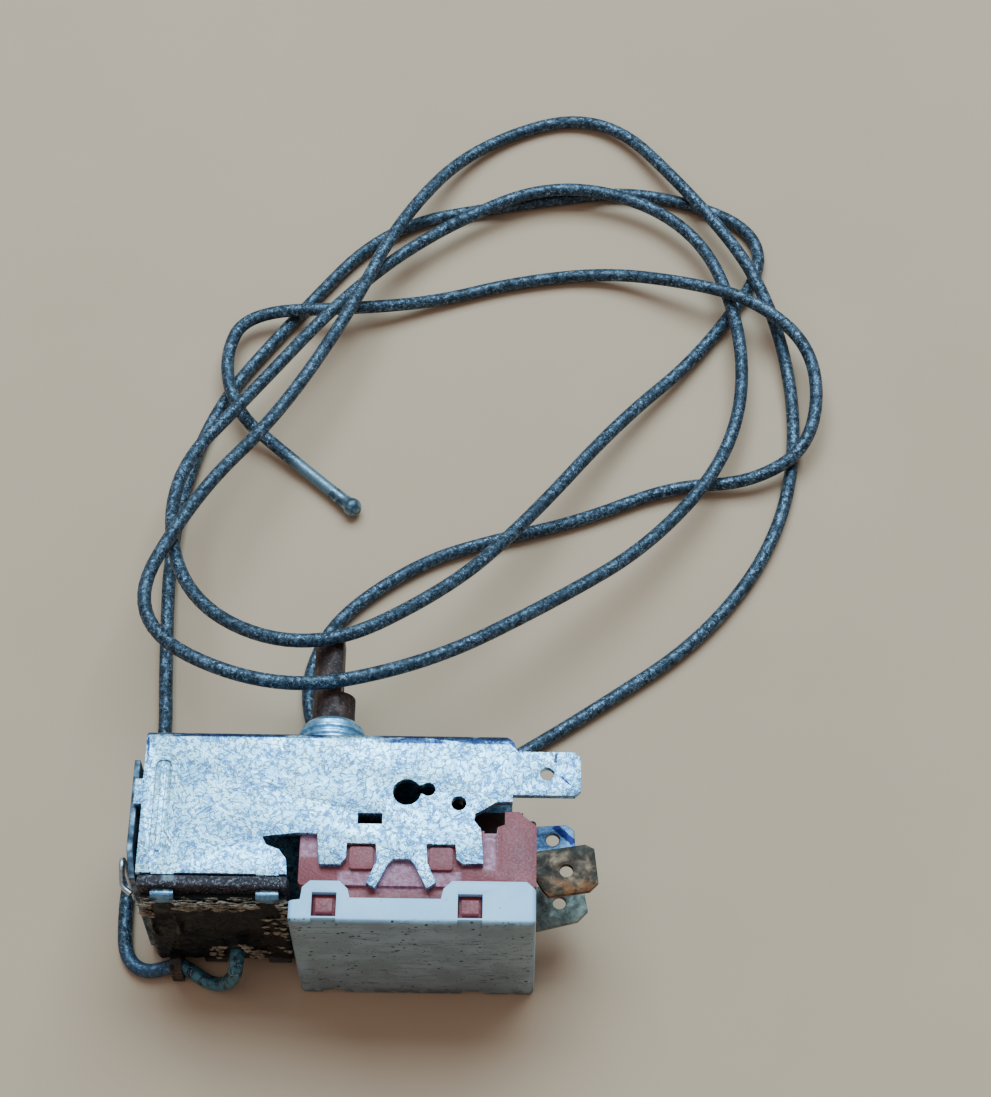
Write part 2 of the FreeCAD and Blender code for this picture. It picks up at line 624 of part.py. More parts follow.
def base_bosses():
    """Pads inside the tray that the two riveted terminals sit on."""
    brown = rod_z(BROWN_RIVET[0], BROWN_RIVET[1], 2.0, BROWN_Z + TERMINAL_HALF, 23.5)
    grey = rod_z(GREY_RIVET[0], GREY_RIVET[1], 2.0, 2.5, GREY_Z - TERMINAL_HALF)
    return [brown, grey]


def side_slots():
    """Openings in the base's right wall for the three blade terminals."""
    slots = []
    for y0, y1, z in ((-14.3, -9.2, ZINC_Z), (-18.5, -14.1, BROWN_Z), (-20.9, -14.3, GREY_Z)):
        half = TERMINAL_HALF + RUNNING
        slots.append(box(49.0, 53.0, y0, y1, z - half, z + half))
    return slots


def base_trays(low, high):
    """The hollow inside the base, lower where the base is lower."""
    left = BASE_X0 + 2
    right = BASE_X1 - 2
    back = BASE_BACK - 2
    front = BACK_Y - 1
    return [
        box(left, right, BASE_FRONT - 1, front, low + 2, high - 2),
        box(left, right, front, back, low + 2, BACK_HIGH - 1.2),
        box(43.0, right, front, back, low + 2, ROOF_HIGH - 0.95),
    ]


def base_steps():
    """Where the base's back and its terminal corner stand lower than the rest."""
    corner = [(43.0, -8), (43.0, BACK_Y), (46.9, BACK_Y), (47.1, -13.0), (48.0, -12.65), (48.0, -10.8),
              (49.9, -10.8), (52.3, -12.9), (52.3, -8)]
    return [
        box(BASE_X0 - 1, 43.0, BACK_Y, -8, BACK_HIGH, THICK),
        prism_z(corner, ROOF_HIGH, THICK),
        prism_z([(50.4, -8), (50.4, -11.3), (52.3, -12.9), (52.3, -8)], 18.0, THICK),
        box(45.3, 47.0, -19.0, -13.3, THICK - 1.8, THICK),
    ]


def cap_catch(x):
    """A sprung tongue with a raised block, which snaps into one window of the cap."""
    high = THICK - SHEET
    width = 2.2
    tongue = box(x - 0.4, x + width + 0.4, -25.95, BASE_FRONT - 1, high - 1.6, high - 0.1)
    block = box(x, x + width, -25.6, -23.4, high - 0.2, high + 0.5)
    block = round_edges(block, 0.3, lambda c, d: abs(d.x) > 0.99 and c.z > high)
    return [tongue, block]


def switch_base():
    """Moulded tray that carries the contacts, open towards the cap."""
    low = SHEET
    high = THICK - SHEET
    body = box(BASE_X0, BASE_X1, BASE_FRONT, BASE_BACK, low, high)
    body = round_edges(body, 0.5, upright)
    lip = box(CAP_X0 + 1.6, BASE_X1 - 1.6, BASE_FRONT - 2.4, BASE_FRONT, low + 0.5, high - 0.5)
    body = join([body, lip])
    mouth = box(CAP_X0 + 2.8, BASE_X1 - 2.8, BASE_FRONT - 3, BASE_FRONT, low + 2, high - 2)
    body = cut_all(body, base_trays(low, high) + [mouth] + base_steps())
    pads = [box(x, x + 3.1, -19.4, -16.3, high - 1, high + 0.6) for x in (27.8, 38.2)]
    extras = [round_edges(pad, 0.4, upright) for pad in pads]
    for x in WINDOW_X:
        extras += cap_catch(x)
    body = join([body] + extras + [mirror_z(extra) for extra in extras] + base_bosses())
    holes = side_slots()
    holes.append(rod_y(PUSH_X, MID_Z, PUSH_R + RUNNING, -12, -8))
    holes.append(rod_z(BROWN_RIVET[0], BROWN_RIVET[1], RIVET_R, 19, 24.5))
    holes.append(rod_z(GREY_RIVET[0], GREY_RIVET[1], RIVET_R, 1.5, 9))
    return cut_all(body, holes)


def catch_ramp(x):
    """Lead-in for one catch, cut off the cap's top front edge."""
    corners = [Vec(x - 0.5, CAP_FRONT + 0.7, THICK + 0.1), Vec(x - 0.5, CAP_FRONT - 0.1, THICK + 0.1),
               Vec(x - 0.5, CAP_FRONT - 0.1, THICK - 1.6)]
    return Part.Face(Part.makePolygon(corners + corners[:1])).extrude(Vec(3.2, 0, 0))


def switch_cap():
    """Snap-on cap: a box open towards the base, with a window over each catch."""
    outline = [
        (CAP_X0, CAP_FRONT), (BASE_X1, CAP_FRONT), (BASE_X1, -22.2), (51.0, -21.1), (41.3, -21.1),
        (40.2, -22.2), (39.9, -23.6), (28.1, -23.6), (27.8, -22.4), (26.7, -21.3), (22.9, -21.3),
        (21.9, -22.2), (21.7, -23.9), (CAP_X0, -24.1),
    ]
    shell = prism_z(outline, 0, THICK)
    front = CAP_FRONT + 0.5
    shell = round_edges(shell, 0.9, lambda c, d: upright(c, d) and c.y < front)
    shell = round_edges(shell, 0.6, lambda c, d: abs(d.x) > 0.99 and c.y < front)
    left = CAP_X0 + CAP_WALL
    right = BASE_X1 - CAP_WALL
    hollow = box(left, right, CAP_FRONT + CAP_WALL, -20, CAP_WALL, THICK - CAP_WALL)
    back = box(CAP_X0 - 1, BASE_X1 + 1, BASE_FRONT - 0.1, -20, CAP_WALL, THICK - CAP_WALL)
    windows = [box(x - 0.5, x + 2.7, -26.2, -22.9, -1, THICK + 1) for x in WINDOW_X]
    ramps = [catch_ramp(x) for x in WINDOW_X]
    ramps += [mirror_z(ramp) for ramp in ramps]
    return cut_all(shell, [hollow, back] + windows + ramps)


# ---------------------------------------------------------------- capillary
def capillary_clip():
    """Small closed strap on the cup's front that holds the capillary."""
    back = CUP_FRONT - 0.8
    front = -26.0
    body = box(2.6, 4.2, front, back, 0.2, 5.6)
    body = round_edges(body, 0.6, lambda c, d: abs(d.x) > 0.99 and c.y < front + 0.1)
    groove = box(2.0, 4.8, front + 0.4, back - 0.05, 0.6, 4.7)
    return body.cut(groove)


def route_points():
    return [Vec(*point) for point in ROUTE]


def bend_radius(before, at, after):
    into = at - before
    out = after - at
    turn = into.getAngle(out)
    return 0.45 * min(into.Length, out.Length) / math.tan(turn / 2), turn


def rounded_path(points):
    """Straight runs from point to point, joined by tangent arcs."""
    edges = []
    last = points[0]
    for i in range(1, len(points) - 1):
        before, at, after = points[i - 1], points[i], points[i + 1]
        radius, turn = bend_radius(before, at, after)
        into = (at - before).normalize()
        out = (after - at).normalize()
        reach = radius * math.tan(turn / 2)
        start = at - into * reach
        end = at + out * reach
        middle = at + (out - into).normalize() * (radius / math.cos(turn / 2) - radius)
        edges.append(Part.LineSegment(last, start).toShape())
        edges.append(Part.Arc(start, middle, end).toShape())
        last = end
    edges.append(Part.LineSegment(last, points[-1]).toShape())
    return Part.Wire(edges)


def round_wire(points, radius):
    ring = Part.Wire([Part.Circle(points[0], points[1] - points[0], radius).toShape()])
    return rounded_path(points).makePipeShell([ring], True, False)


def capillary_tube():
    """Round tube on straight runs and tangent arcs through the route's points."""
    points = route_points()
    for i in range(1, len(points) - 1):
        radius, turn = bend_radius(points[i - 1], points[i], points[i + 1])
        print("bend %2d: radius %6.1f mm, turn %5.1f deg" % (i, radius, math.degrees(turn)))
    tube = round_wire(points, TUBE_R)
    length = rounded_path(points).Length
    print("capillary: length %.0f mm, volume %.1f mm3, section x length %.1f mm3"
          % (length, tube.Volume, math.pi * TUBE_R ** 2 * length))
    return tube


def capillary_tip():
    """Solder ball that seals the far end."""
    points = route_points()
    along = (points[-1] - points[-2]).normalize()
    ball_r = 1.45
    ball = Part.makeSphere(ball_r, points[-1] + along * (ball_r - 0.35))
    bore = 6.0
    return ball.cut(Part.makeCylinder(TUBE_R, bore, points[-1] - along * bore, along))


# ---------------------------------------------------------------- write
CORD = {
    "capillary_tube": capillary_tube,
    "capillary_tip": capillary_tip,
}

BODY = {
    "frame": frame,
    "screw_block": screw_block,
    "range_screw": lambda: slotted_screw(SCREW_Z[1]),
    "differential_screw": lambda: slotted_screw(SCREW_Z[0]),
    "end_plate": end_plate,
    "wire_hook": wire_hook,
    "bellows_cup": bellows_cup,
    "cup_sealant": cup_sealant,
    "capillary_ferrule": capillary_ferrule,
    "capillary_clip": capillary_clip,
    "bellows": bellows,
    "bellows_stud": bellows_stud,
    "bushing": bushing,
    "shaft": shaft,
    "shaft_clip": shaft_clip,
    "spring_washer": spring_washer,
    "cam": cam,
    "range_lever": range_lever,
    "range_post": range_post,
    "range_spring": range_spring,
    "lever_pin": lever_pin,
    "main_lever": main_lever,
    "push_pin": push_pin,
    "snap_blade": snap_blade,
    "moving_contact": moving_contact,
    "toggle_spring": toggle_spring,
    "fixed_contact": fixed_contact,
    "terminal_zinc": terminal_zinc,
    "terminal_brown": terminal_brown,
    "terminal_grey": terminal_grey,
    "terminal_rivets": terminal_rivets,
    "switch_base": switch_base,
    "switch_cap": switch_cap,
}


def main():
    os.makedirs("parts", exist_ok=True)
    body = {name: make() for name, make in BODY.items()}
    bounds = Part.makeCompound(list(body.values())).optimalBoundingBox(False)
    print("body box: x %.2f..%.2f  y %.2f..%.2f  z %.2f..%.2f"
          % (bounds.XMin, bounds.XMax, bounds.YMin, bounds.YMax, bounds.ZMin, bounds.ZMax))
    shapes = dict(body)
    shapes.update({name: make() for name, make in CORD.items()})
    for name, shape in shapes.items():
        if not shape.isValid():
            print("not valid:", name)
        shape.translate(-ORIGIN)
        shape.exportStep("parts/%s.step" % name)
        print("%-20s solids %d  volume %8.1f mm3" % (name, len(shape.Solids), shape.Volume))


main()
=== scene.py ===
import bmesh
import bpy
import math
import random
from mathutils import Matrix, Vector, noise


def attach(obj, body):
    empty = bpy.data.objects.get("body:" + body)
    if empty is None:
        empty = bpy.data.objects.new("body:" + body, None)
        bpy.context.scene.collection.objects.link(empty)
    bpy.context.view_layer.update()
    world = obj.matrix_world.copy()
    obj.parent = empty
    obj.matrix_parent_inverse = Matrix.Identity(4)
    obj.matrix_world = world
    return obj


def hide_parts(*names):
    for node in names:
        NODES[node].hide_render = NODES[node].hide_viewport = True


# Capillary thermostat of a refrigerator, lying on one side plate with its sensing tube in loose loops.
# Sizes are in millimetres in the workshop frame of the CAD (bench at z = 0, mounting face at y = 0,
# the frame's left end at x = 0) and are turned into the row's frame, in metres, by at().

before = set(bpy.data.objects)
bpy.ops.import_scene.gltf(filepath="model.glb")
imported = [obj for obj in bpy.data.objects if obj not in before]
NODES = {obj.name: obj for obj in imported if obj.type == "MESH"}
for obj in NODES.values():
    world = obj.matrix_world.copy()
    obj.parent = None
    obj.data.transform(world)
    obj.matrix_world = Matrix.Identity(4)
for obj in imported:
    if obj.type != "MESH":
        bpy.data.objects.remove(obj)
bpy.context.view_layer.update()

MM = 0.001
ORIGIN = Vector((28.9, -3.05, 0.0))
HOUSING = "housing"
SHAFT_AXIS = (23.7, 0.0, 13.0)


def at(x, y, z):
    return (Vector((x, y, z)) - ORIGIN) * MM


# ---------------------------------------------------------------- camera
def camera():
    focal_px = 2500.0
    long_side_px = 1097.0
    data = bpy.data.cameras.new("camera")
    data.sensor_width = 36.0
    data.lens = focal_px * data.sensor_width / long_side_px
    data.clip_start = 0.01
    down = math.radians(59.95)
    yaw = math.radians(1.22)
    roll = math.radians(-0.31)
    turn = Matrix.Rotation(yaw, 3, "Z")
    forward = turn @ Vector((0.0, math.cos(down), -math.sin(down)))
    right = turn @ Vector((1.0, 0.0, 0.0))
    up = right.cross(forward)
    rolled_right = math.cos(roll) * right + math.sin(roll) * up
    rolled_up = -math.sin(roll) * right + math.cos(roll) * up
    pose = Matrix((rolled_right, rolled_up, -forward)).transposed().to_4x4()
    pose.translation = at(49.8, -145.8, 327.7)
    item = bpy.data.objects.new("camera", data)
    item.matrix_world = pose
    bpy.context.scene.collection.objects.link(item)
    bpy.context.scene.camera = item


# ---------------------------------------------------------------- capillary route
TUBE_D = 2.0
ROUTE = [
    (12.0, -24.2, 7.7), (12.0, -26.0, 7.7), (11.6, -27.1, 6.0), (10.4, -27.3, 3.6),
    (8.9, -26.8, 1.8), (7.2, -26.1, 1.1), (5.3, -24.8, 1.3), (3.6, -24.3, 2.8),
    (1.5, -24.4, 1.4), (-0.7, -24.9, 1.1), (-2.8, -24.2, 1.1), (-4.3, -22.0, 1.1),
    (-4.7, -18.0, 1.1), (-4.8, -12.5, 1.1), (-3.4, -1.5, 1.1),
    (-1.2, 9.0, 1.1), (-2.4, 22.5, 1.1), (-3.5, 45.0, 1.1), (1.0, 67.0, 1.1),
    (13.0, 84.8, 1.1), (27.0, 103.5, 1.1), (47.5, 108.2, 1.1), (70.0, 112.0, 1.1),
    (91.5, 101.5, 1.1), (78.0, 79.0, 1.3), (64.5, 64.5, 3.8), (51.0, 45.0, 7.2),
    (39.5, 30.0, 12.0), (20.5, 15.0, 19.2), (1.0, 25.5, 14.8), (-3.5, 49.0, 10.2),
    (8.0, 67.0, 6.9), (21.0, 85.5, 6.4), (35.0, 101.0, 3.5), (55.5, 112.0, 3.6),
    (77.0, 103.5, 3.4), (84.5, 81.5, 3.7), (82.5, 60.0, 4.0), (69.5, 41.5, 6.1),
    (53.5, 28.0, 11.0), (36.0, 15.0, 16.6), (15.0, 9.5, 18.4), (-7.0, 21.0, 17.2),
    (1.5, 44.0, 14.0), (12.5, 61.0, 9.6), (22.5, 81.0, 8.8), (29.5, 101.0, 6.6),
    (41.0, 120.5, 1.2), (62.0, 128.5, 1.1), (77.0, 108.5, 3.7), (88.0, 90.5, 3.9),
    (92.5, 69.0, 1.1), (89.5, 47.0, 1.1), (77.5, 28.5, 1.1), (59.5, 15.3, 1.1),
    (50.5, 9.2, 1.1), (44.0, 5.0, 1.1), (35.5, 4.0, 1.1), (27.5, 4.2, 1.1),
    (21.8, 8.2, 1.1), (19.0, 15.0, 1.1), (18.8, 22.0, 1.1), (22.5, 31.0, 1.1),
    (34.5, 40.5, 1.1), (45.5, 44.5, 1.1), (58.5, 48.0, 1.1), (72.5, 54.5, 1.1),
    (85.0, 54.5, 2.4), (94.5, 61.0, 3.9), (95.5, 77.0, 5.0), (86.0, 86.0, 6.6),
    (74.0, 91.0, 4.3), (62.0, 94.5, 1.3), (48.0, 92.5, 1.1), (35.5, 88.5, 1.2),
    (23.5, 85.0, 4.1), (5.5, 85.0, 2.8), (2.5, 75.5, 3.1), (5.5, 65.0, 3.7),
    (12.5, 59.5, 2.0), (18.5, 54.5, 1.3), (23.0, 50.5, 1.5),
]


# ---------------------------------------------------------------- shader building
class Shader:
    """A Principled material whose textures are laid out in workshop millimetres."""

    def __init__(self, name, metallic=0.0, roughness=0.5, **sockets):
        self.material = bpy.data.materials.new(name)
        self.material.use_nodes = True
        self.tree = self.material.node_tree
        self.surface = self.tree.nodes["Principled BSDF"]
        self.surface.inputs["Metallic"].default_value = metallic
        self.surface.inputs["Roughness"].default_value = roughness
        for socket, value in sockets.items():
            self.surface.inputs[socket.replace("_", " ")].default_value = value
        coordinate = self.add("ShaderNodeTexCoord").outputs["Object"]
        mapping = self.add("ShaderNodeMapping")
        mapping.inputs["Scale"].default_value = (1 / MM, 1 / MM, 1 / MM)
        mapping.inputs["Location"].default_value = ORIGIN
        self.tree.links.new(coordinate, mapping.inputs["Vector"])
        self.place = mapping.outputs["Vector"]
        split = self.add("ShaderNodeSeparateXYZ")
        self.tree.links.new(self.place, split.inputs[0])
        self.x, self.y, self.z = split.outputs

    def add(self, kind):
        return self.tree.nodes.new(kind)

    def feed(self, socket, value):
        if isinstance(value, bpy.types.NodeSocket):
            self.tree.links.new(value, socket)
        elif isinstance(value, tuple) and socket.type == "RGBA":
            socket.default_value = (*value[:3], 1.0)
        else:
            socket.default_value = value

    def math(self, operation, a, b):
        node = self.add("ShaderNodeMath")
        node.operation = operation
        self.feed(node.inputs[0], a)
        self.feed(node.inputs[1], b)
        return node.outputs[0]

    def times(self, a, b):
        return self.math("MULTIPLY", a, b)

    def plus(self, a, b):
        return self.math("ADD", a, b)

    def minus(self, a, b):
        return self.math("SUBTRACT", a, b)

    def vector(self, operation, a, b=(0.0, 0.0, 0.0)):
        node = self.add("ShaderNodeVectorMath")
        node.operation = operation
        self.feed(node.inputs[0], a)
        self.feed(node.inputs[1], b)
        return node.outputs[0]

    def stretch(self, factors, place=None):
        return self.vector("MULTIPLY", place or self.place, factors)

    def noise(self, scale, detail=4.0, roughness=0.55, distortion=0.0, place=None, colour=False):
        node = self.add("ShaderNodeTexNoise")
        self.feed(node.inputs["Vector"], place or self.place)
        node.inputs["Scale"].default_value = scale
        node.inputs["Detail"].default_value = detail
        node.inputs["Roughness"].default_value = roughness
        node.inputs["Distortion"].default_value = distortion
        return node.outputs["Color" if colour else "Fac"]

    def cells(self, scale, feature="F1", place=None, output="Distance", randomness=1.0):
        node = self.add("ShaderNodeTexVoronoi")
        node.feature = feature
        self.feed(node.inputs["Vector"], place or self.place)
        node.inputs["Scale"].default_value = scale
        node.inputs["Randomness"].default_value = randomness
        return node.outputs[output]

    def remap(self, value, low, high, to_low=0.0, to_high=1.0):
        node = self.add("ShaderNodeMapRange")
        node.interpolation_type = "SMOOTHSTEP"
        self.feed(node.inputs["Value"], value)
        node.inputs["From Min"].default_value = low
        node.inputs["From Max"].default_value = high
        node.inputs["To Min"].default_value = to_low
        node.inputs["To Max"].default_value = to_high
        return node.outputs["Result"]

    def band(self, value, low, high, soft=0.1):
        """1 between low and high, 0 outside, with soft sides."""
        rise = self.remap(value, low - soft, low + soft)
        fall = self.remap(value, high - soft, high + soft, 1.0, 0.0)
        return self.times(rise, fall)

    def blotches(self, scale, detail, low, high, roughness=0.55):
        """Soft-edged patches: a noise that rises from 0 at low to 1 at high."""
        return self.remap(self.noise(scale, detail, roughness), low, high)

    def area(self, xs, ys, soft_x, soft_y):
        """1 inside an upright rectangle seen from above."""
        return self.both(self.band(self.x, *xs, soft_x), self.band(self.y, *ys, soft_y))

    def both(self, *masks):
        result = masks[0]
        for mask in masks[1:]:
            result = self.times(result, mask)
        return result

    def either(self, *masks):
        result = masks[0]
        for mask in masks[1:]:
            result = self.math("MAXIMUM", result, mask)
        return result

    def mix(self, factor, a, b, blend="MIX"):
        node = self.add("ShaderNodeMix")
        node.data_type = "RGBA"
        node.blend_type = blend
        self.feed(node.inputs["Factor"], factor)
        self.feed(node.inputs[6], a)
        self.feed(node.inputs[7], b)
        return node.outputs[2]

    def ramp(self, factor, *stops):
        """Colours at increasing positions: (position, (r, g, b))."""
        node = self.add("ShaderNodeValToRGB")
        elements = node.color_ramp.elements
        while len(elements) < len(stops):
            elements.new(0.5)
        for element, (position, colour) in zip(elements, stops):
            element.position = position
            element.color = (*colour, 1.0)
        self.feed(node.inputs["Fac"], factor)
        return node.outputs["Color"]

    def bump(self, height, depth_mm, strength=1.0, under=None):
        node = self.add("ShaderNodeBump")
        node.inputs["Strength"].default_value = strength
        node.inputs["Distance"].default_value = depth_mm * MM
        self.feed(node.inputs["Height"], height)
        if under is not None:
            self.feed(node.inputs["Normal"], under)
        return node.outputs["Normal"]

    def finish(self, colour=None, roughness=None, normal=None, metallic=None):
        for socket, value in (("Base Color", colour), ("Roughness", roughness), ("Normal", normal),
                              ("Metallic", metallic)):
            if value is not None:
                self.feed(self.surface.inputs[socket], value)
        return self.material

    def stroke(self, start, end, width, soft=0.08):
        """A pen stroke seen from above, from start to end in x and y."""
        dx, dy = end[0] - start[0], end[1] - start[1]
        length = math.hypot(dx, dy)
        wobble = self.times(self.minus(self.noise(1.3, 2.0), 0.5), 0.5)
        px = self.minus(self.x, start[0])
        py = self.minus(self.y, start[1])
        along = self.plus(self.times(px, dx / length),
                          self.times(py, dy / length))
        across = self.minus(self.times(py, dx / length),
                           self.times(px, dy / length))
        across = self.plus(across, wobble)
        return self.both(self.band(along, 0.0, length, 0.2),
                         self.band(across, -width / 2, width / 2, soft))


# ---------------------------------------------------------------- materials
INK = (0.012, 0.018, 0.10)


def spangle(shader, scale=0.5):
    """Zinc crystals: a tone for each grain, feathered lines inside it, and its dark broken outline."""
    drift = shader.vector("SUBTRACT", shader.noise(1.1, 3.0, colour=True), (0.5, 0.5, 0.5))
    warp = shader.vector("SCALE", drift)
    warp.node.inputs["Scale"].default_value = 2.2
    place = shader.vector("ADD", shader.place, warp)
    grain = shader.cells(scale, place=place, output="Color")
    split = shader.add("ShaderNodeSeparateXYZ")
    shader.tree.links.new(grain, split.inputs[0])
    tone, direction, fine = split.outputs
    spin = shader.add("ShaderNodeVectorRotate")
    shader.tree.links.new(shader.place, spin.inputs["Vector"])
    shader.feed(spin.inputs["Angle"], shader.times(direction, 2.0 * math.pi))
    feathers = shader.noise(1.1, 3.0, 0.6, 0.9, shader.stretch((0.6, 2.8, 0.6), spin.outputs["Vector"]))
    outline = shader.remap(shader.cells(scale * 1.9, "DISTANCE_TO_EDGE", place=place), 0.13, 0.03)
    broken = shader.blotches(1.3, 3.0, 0.40, 0.52, 0.6)
    return tone, feathers, shader.both(outline, broken), fine


def zinc_colours(shader, tone, feathers, outline):
    """The crystals' height for a bump, and their colours with a few straw patches; the strong blue of
    the colours is a painted reflection of the bluish window.
    """
    level = shader.plus(shader.times(tone, 0.16), shader.times(feathers, 0.95))
    # painted reflection: the blue of this ramp stands for the bluish window light mirrored in the zinc
    colour = shader.ramp(level, (0.36, (0.12, 0.23, 0.42)), (0.48, (0.29, 0.56, 0.86)),
                         (0.56, (0.48, 0.82, 1.0)), (0.74, (0.74, 0.98, 1.0)))
    straw = shader.remap(shader.noise(0.8, 4.0, 0.6, 0.8, shader.stretch((0.5, 1.5, 1.0))), 0.60, 0.70)
    colour = shader.mix(shader.times(straw, 0.30), colour, (0.80, 0.88, 0.74))
    colour = shader.mix(shader.times(outline, 0.85), colour, (0.11, 0.22, 0.40))
    return level, colour


def ink_marks(shader):
    """Navy marker ink along the rear bend and in a few strokes on the earth blade."""
    broken = shader.noise(0.9, 3.0, place=shader.stretch((0.35, 2.0, 1.0)))
    return shader.either(
        shader.both(shader.area((31.0, 49.0), (-1.5, 1.0), 1.2, 0.15),
                    shader.remap(broken, 0.30, 0.44)),
        shader.both(shader.area((0.0, 24.0), (-0.9, 1.0), 1.0, 0.15),
                    shader.remap(broken, 0.36, 0.50)),
        shader.both(shader.area((44.0, 49.4), (-1.5, -0.6), 0.6, 0.2),
                    shader.remap(broken, 0.42, 0.56)),
        shader.stroke((48.4, -0.9), (50.0, -2.5), 0.6),
        shader.stroke((54.7, -2.6), (54.6, -4.1), 0.35),
        shader.stroke((55.3, -6.0), (56.7, -7.3), 0.3),
        shader.stroke((0.2, -1.0), (0.4, -4.0), 0.35),
    )


def zinc_plate():
    shader = Shader("zinc_spangle", metallic=0.95, roughness=0.42)
    tone, feathers, outline, fine = spangle(shader)
    level, colour = zinc_colours(shader, tone, feathers, outline)
    # painted shade: a dark blotchy outline round the pressed rib, where its edges fall into shade
    rib_shade = shader.area((1.5, 3.8), (-18.3, -4.3), 0.12, 0.12)
    rib_middle = shader.area((2.3, 3.0), (-17.4, -5.2), 0.1, 0.1)
    rib_shade = shader.both(rib_shade, shader.minus(1.0, rib_middle), shader.blotches(0.8, 4.0, 0.36, 0.54))
    colour = shader.mix(shader.times(rib_shade, 0.60), colour, (0.16, 0.23, 0.26))
    top = shader.remap(shader.z, 24.2, 24.7)
    colour = shader.mix(shader.times(shader.both(ink_marks(shader), top), 0.92), colour, INK)
    # darker blotches on the walls below the top face
    walls = shader.remap(shader.z, 24.9, 24.4)
    blotchy_wall_darkening = shader.both(walls, shader.blotches(0.5, 5.0, 0.35, 0.65, 0.65))
    colour = shader.mix(shader.times(blotchy_wall_darkening, 0.55), colour, (0.13, 0.16, 0.20))
    # darker blotches on the front face below the top
    front_face_darkening = shader.both(shader.blotches(1.8, 4.0, 0.45, 0.60),
                             shader.remap(shader.y, -20.0, -20.5), shader.remap(shader.z, 23.6, 22.2))
    colour = shader.mix(shader.times(front_face_darkening, 0.7), colour, (0.16, 0.14, 0.13))
    # painted shade: the lugs' faces, which face away from the window, are given a darker blue
    lug_shade = shader.both(shader.remap(shader.y, -22.6, -23.0), shader.remap(shader.z, 21.0, 22.0))
    colour = shader.mix(shader.times(lug_shade, 0.75), colour, (0.10, 0.21, 0.38))
    # painted shade: near-black under the cup's lip
    under_lip_shade = shader.both(shader.band(shader.y, -22.7, -20.45, 0.1),
                            shader.band(shader.z, 23.5, 25.15, 0.1))
    colour = shader.mix(shader.times(under_lip_shade, 0.92), colour, (0.030, 0.022, 0.026))
    lower = shader.both(shader.remap(shader.y, -20.5, -21.0), shader.remap(shader.z, 9.0, 7.0))
    left_wall = shader.both(shader.remap(shader.x, 0.3, 0.0), shader.remap(shader.z, 25.2, 24.8))
    shaded = shader.times(shader.either(lower, left_wall), 0.85)
    colour = shader.mix(shaded, colour, (0.05, 0.06, 0.075))
    rough = shader.plus(shader.times(fine, 0.14), 0.34)
    normal = shader.bump(shader.minus(level, shader.times(outline, 0.5)), 0.07, 0.8)
    return shader.finish(colour, rough, normal)


def plain_steel():
    shader = Shader("bright_steel", metallic=1.0, roughness=0.32)
    wear = shader.noise(2.5, 4.0)
    colour = shader.ramp(wear, (0.3, (0.40, 0.41, 0.43)), (0.7, (0.66, 0.67, 0.69)))
    return shader.finish(colour, shader.remap(wear, 0.3, 0.7, 0.25, 0.45), shader.bump(wear, 0.02, 0.4))


def blackened_steel():
    shader = Shader("blackened_steel", metallic=0.5, roughness=0.5)
    wear = shader.noise(2.0, 4.0)
    colour = shader.ramp(wear, (0.4, (0.010, 0.010, 0.011)), (0.7, (0.045, 0.043, 0.042)))
    return shader.finish(colour, None, shader.bump(wear, 0.02, 0.4))


def dark_strip():
    shader = Shader("dark_strip", metallic=0.6, roughness=0.55)
    patches = shader.noise(0.5, 5.0, 0.6)
    colour = shader.ramp(patches, (0.34, (0.030, 0.040, 0.055)), (0.50, (0.10, 0.14, 0.19)),
                         (0.66, (0.24, 0.32, 0.40)))
    rough = shader.remap(patches, 0.4, 0.6, 0.65, 0.42)
    return shader.finish(colour, rough, shader.bump(patches, 0.08, 0.6))


def bushing_zinc():
    shader = Shader("bushing_zinc", metallic=0.85, roughness=0.36)
    wear = shader.noise(1.2, 5.0, 0.6)
    # painted reflection: the ramp's strong blue stands for the bluish window light mirrored in the zinc
    colour = shader.ramp(wear, (0.32, (0.14, 0.27, 0.40)), (0.50, (0.30, 0.54, 0.76)),
                         (0.70, (0.54, 0.82, 1.0)))
    return shader.finish(colour, shader.remap(wear, 0.3, 0.7, 0.5, 0.30), shader.bump(wear, 0.05, 0.5))


def rusty_shaft():
    shader = Shader("rusty_shaft", metallic=0.3, roughness=0.6)
    patches = shader.noise(0.55, 6.0, 0.62, 0.4, shader.stretch((1.0, 0.6, 1.0)))
    grain = shader.noise(2.6, 5.0, 0.65)
    colour = shader.ramp(patches, (0.32, (0.012, 0.005, 0.005)), (0.48, (0.040, 0.015, 0.012)),
                         (0.60, (0.085, 0.038, 0.030)), (0.74, (0.17, 0.11, 0.10)))
    colour = shader.mix(shader.remap(grain, 0.54, 0.70), colour, (0.17, 0.115, 0.10))
    normal = shader.bump(shader.plus(patches, shader.times(grain, 0.6)), 0.16, 0.8)
    return shader.finish(colour, shader.remap(patches, 0.35, 0.7, 0.75, 0.42), normal)


def rusty_cup():
    shader = Shader("rusty_cup", metallic=0.25, roughness=0.6)
    patches = shader.noise(0.7, 6.0, 0.7, 0.6)
    grain = shader.noise(2.6, 4.0, 0.7)
    colour = shader.ramp(patches, (0.34, (0.008, 0.006, 0.008)), (0.50, (0.030, 0.018, 0.022)),
                         (0.64, (0.070, 0.046, 0.052)))
    mauve = shader.remap(grain, 0.52, 0.64)
    colour = shader.mix(shader.times(mauve, 0.85), colour, (0.24, 0.21, 0.24))
    bright = shader.remap(shader.cells(1.5), 0.13, 0.07)
    colour = shader.mix(shader.times(bright, 0.8), colour, (0.55, 0.56, 0.60))
    zinc_left = shader.area((3.6, 5.2), (-21.6, -20.4), 0.3, 0.2)
    colour = shader.mix(shader.times(zinc_left, 0.4), colour, (0.45, 0.52, 0.54))
    normal = shader.bump(shader.plus(patches, grain), 0.22, 0.9)
    return shader.finish(colour, shader.remap(grain, 0.4, 0.6, 0.68, 0.42), normal)


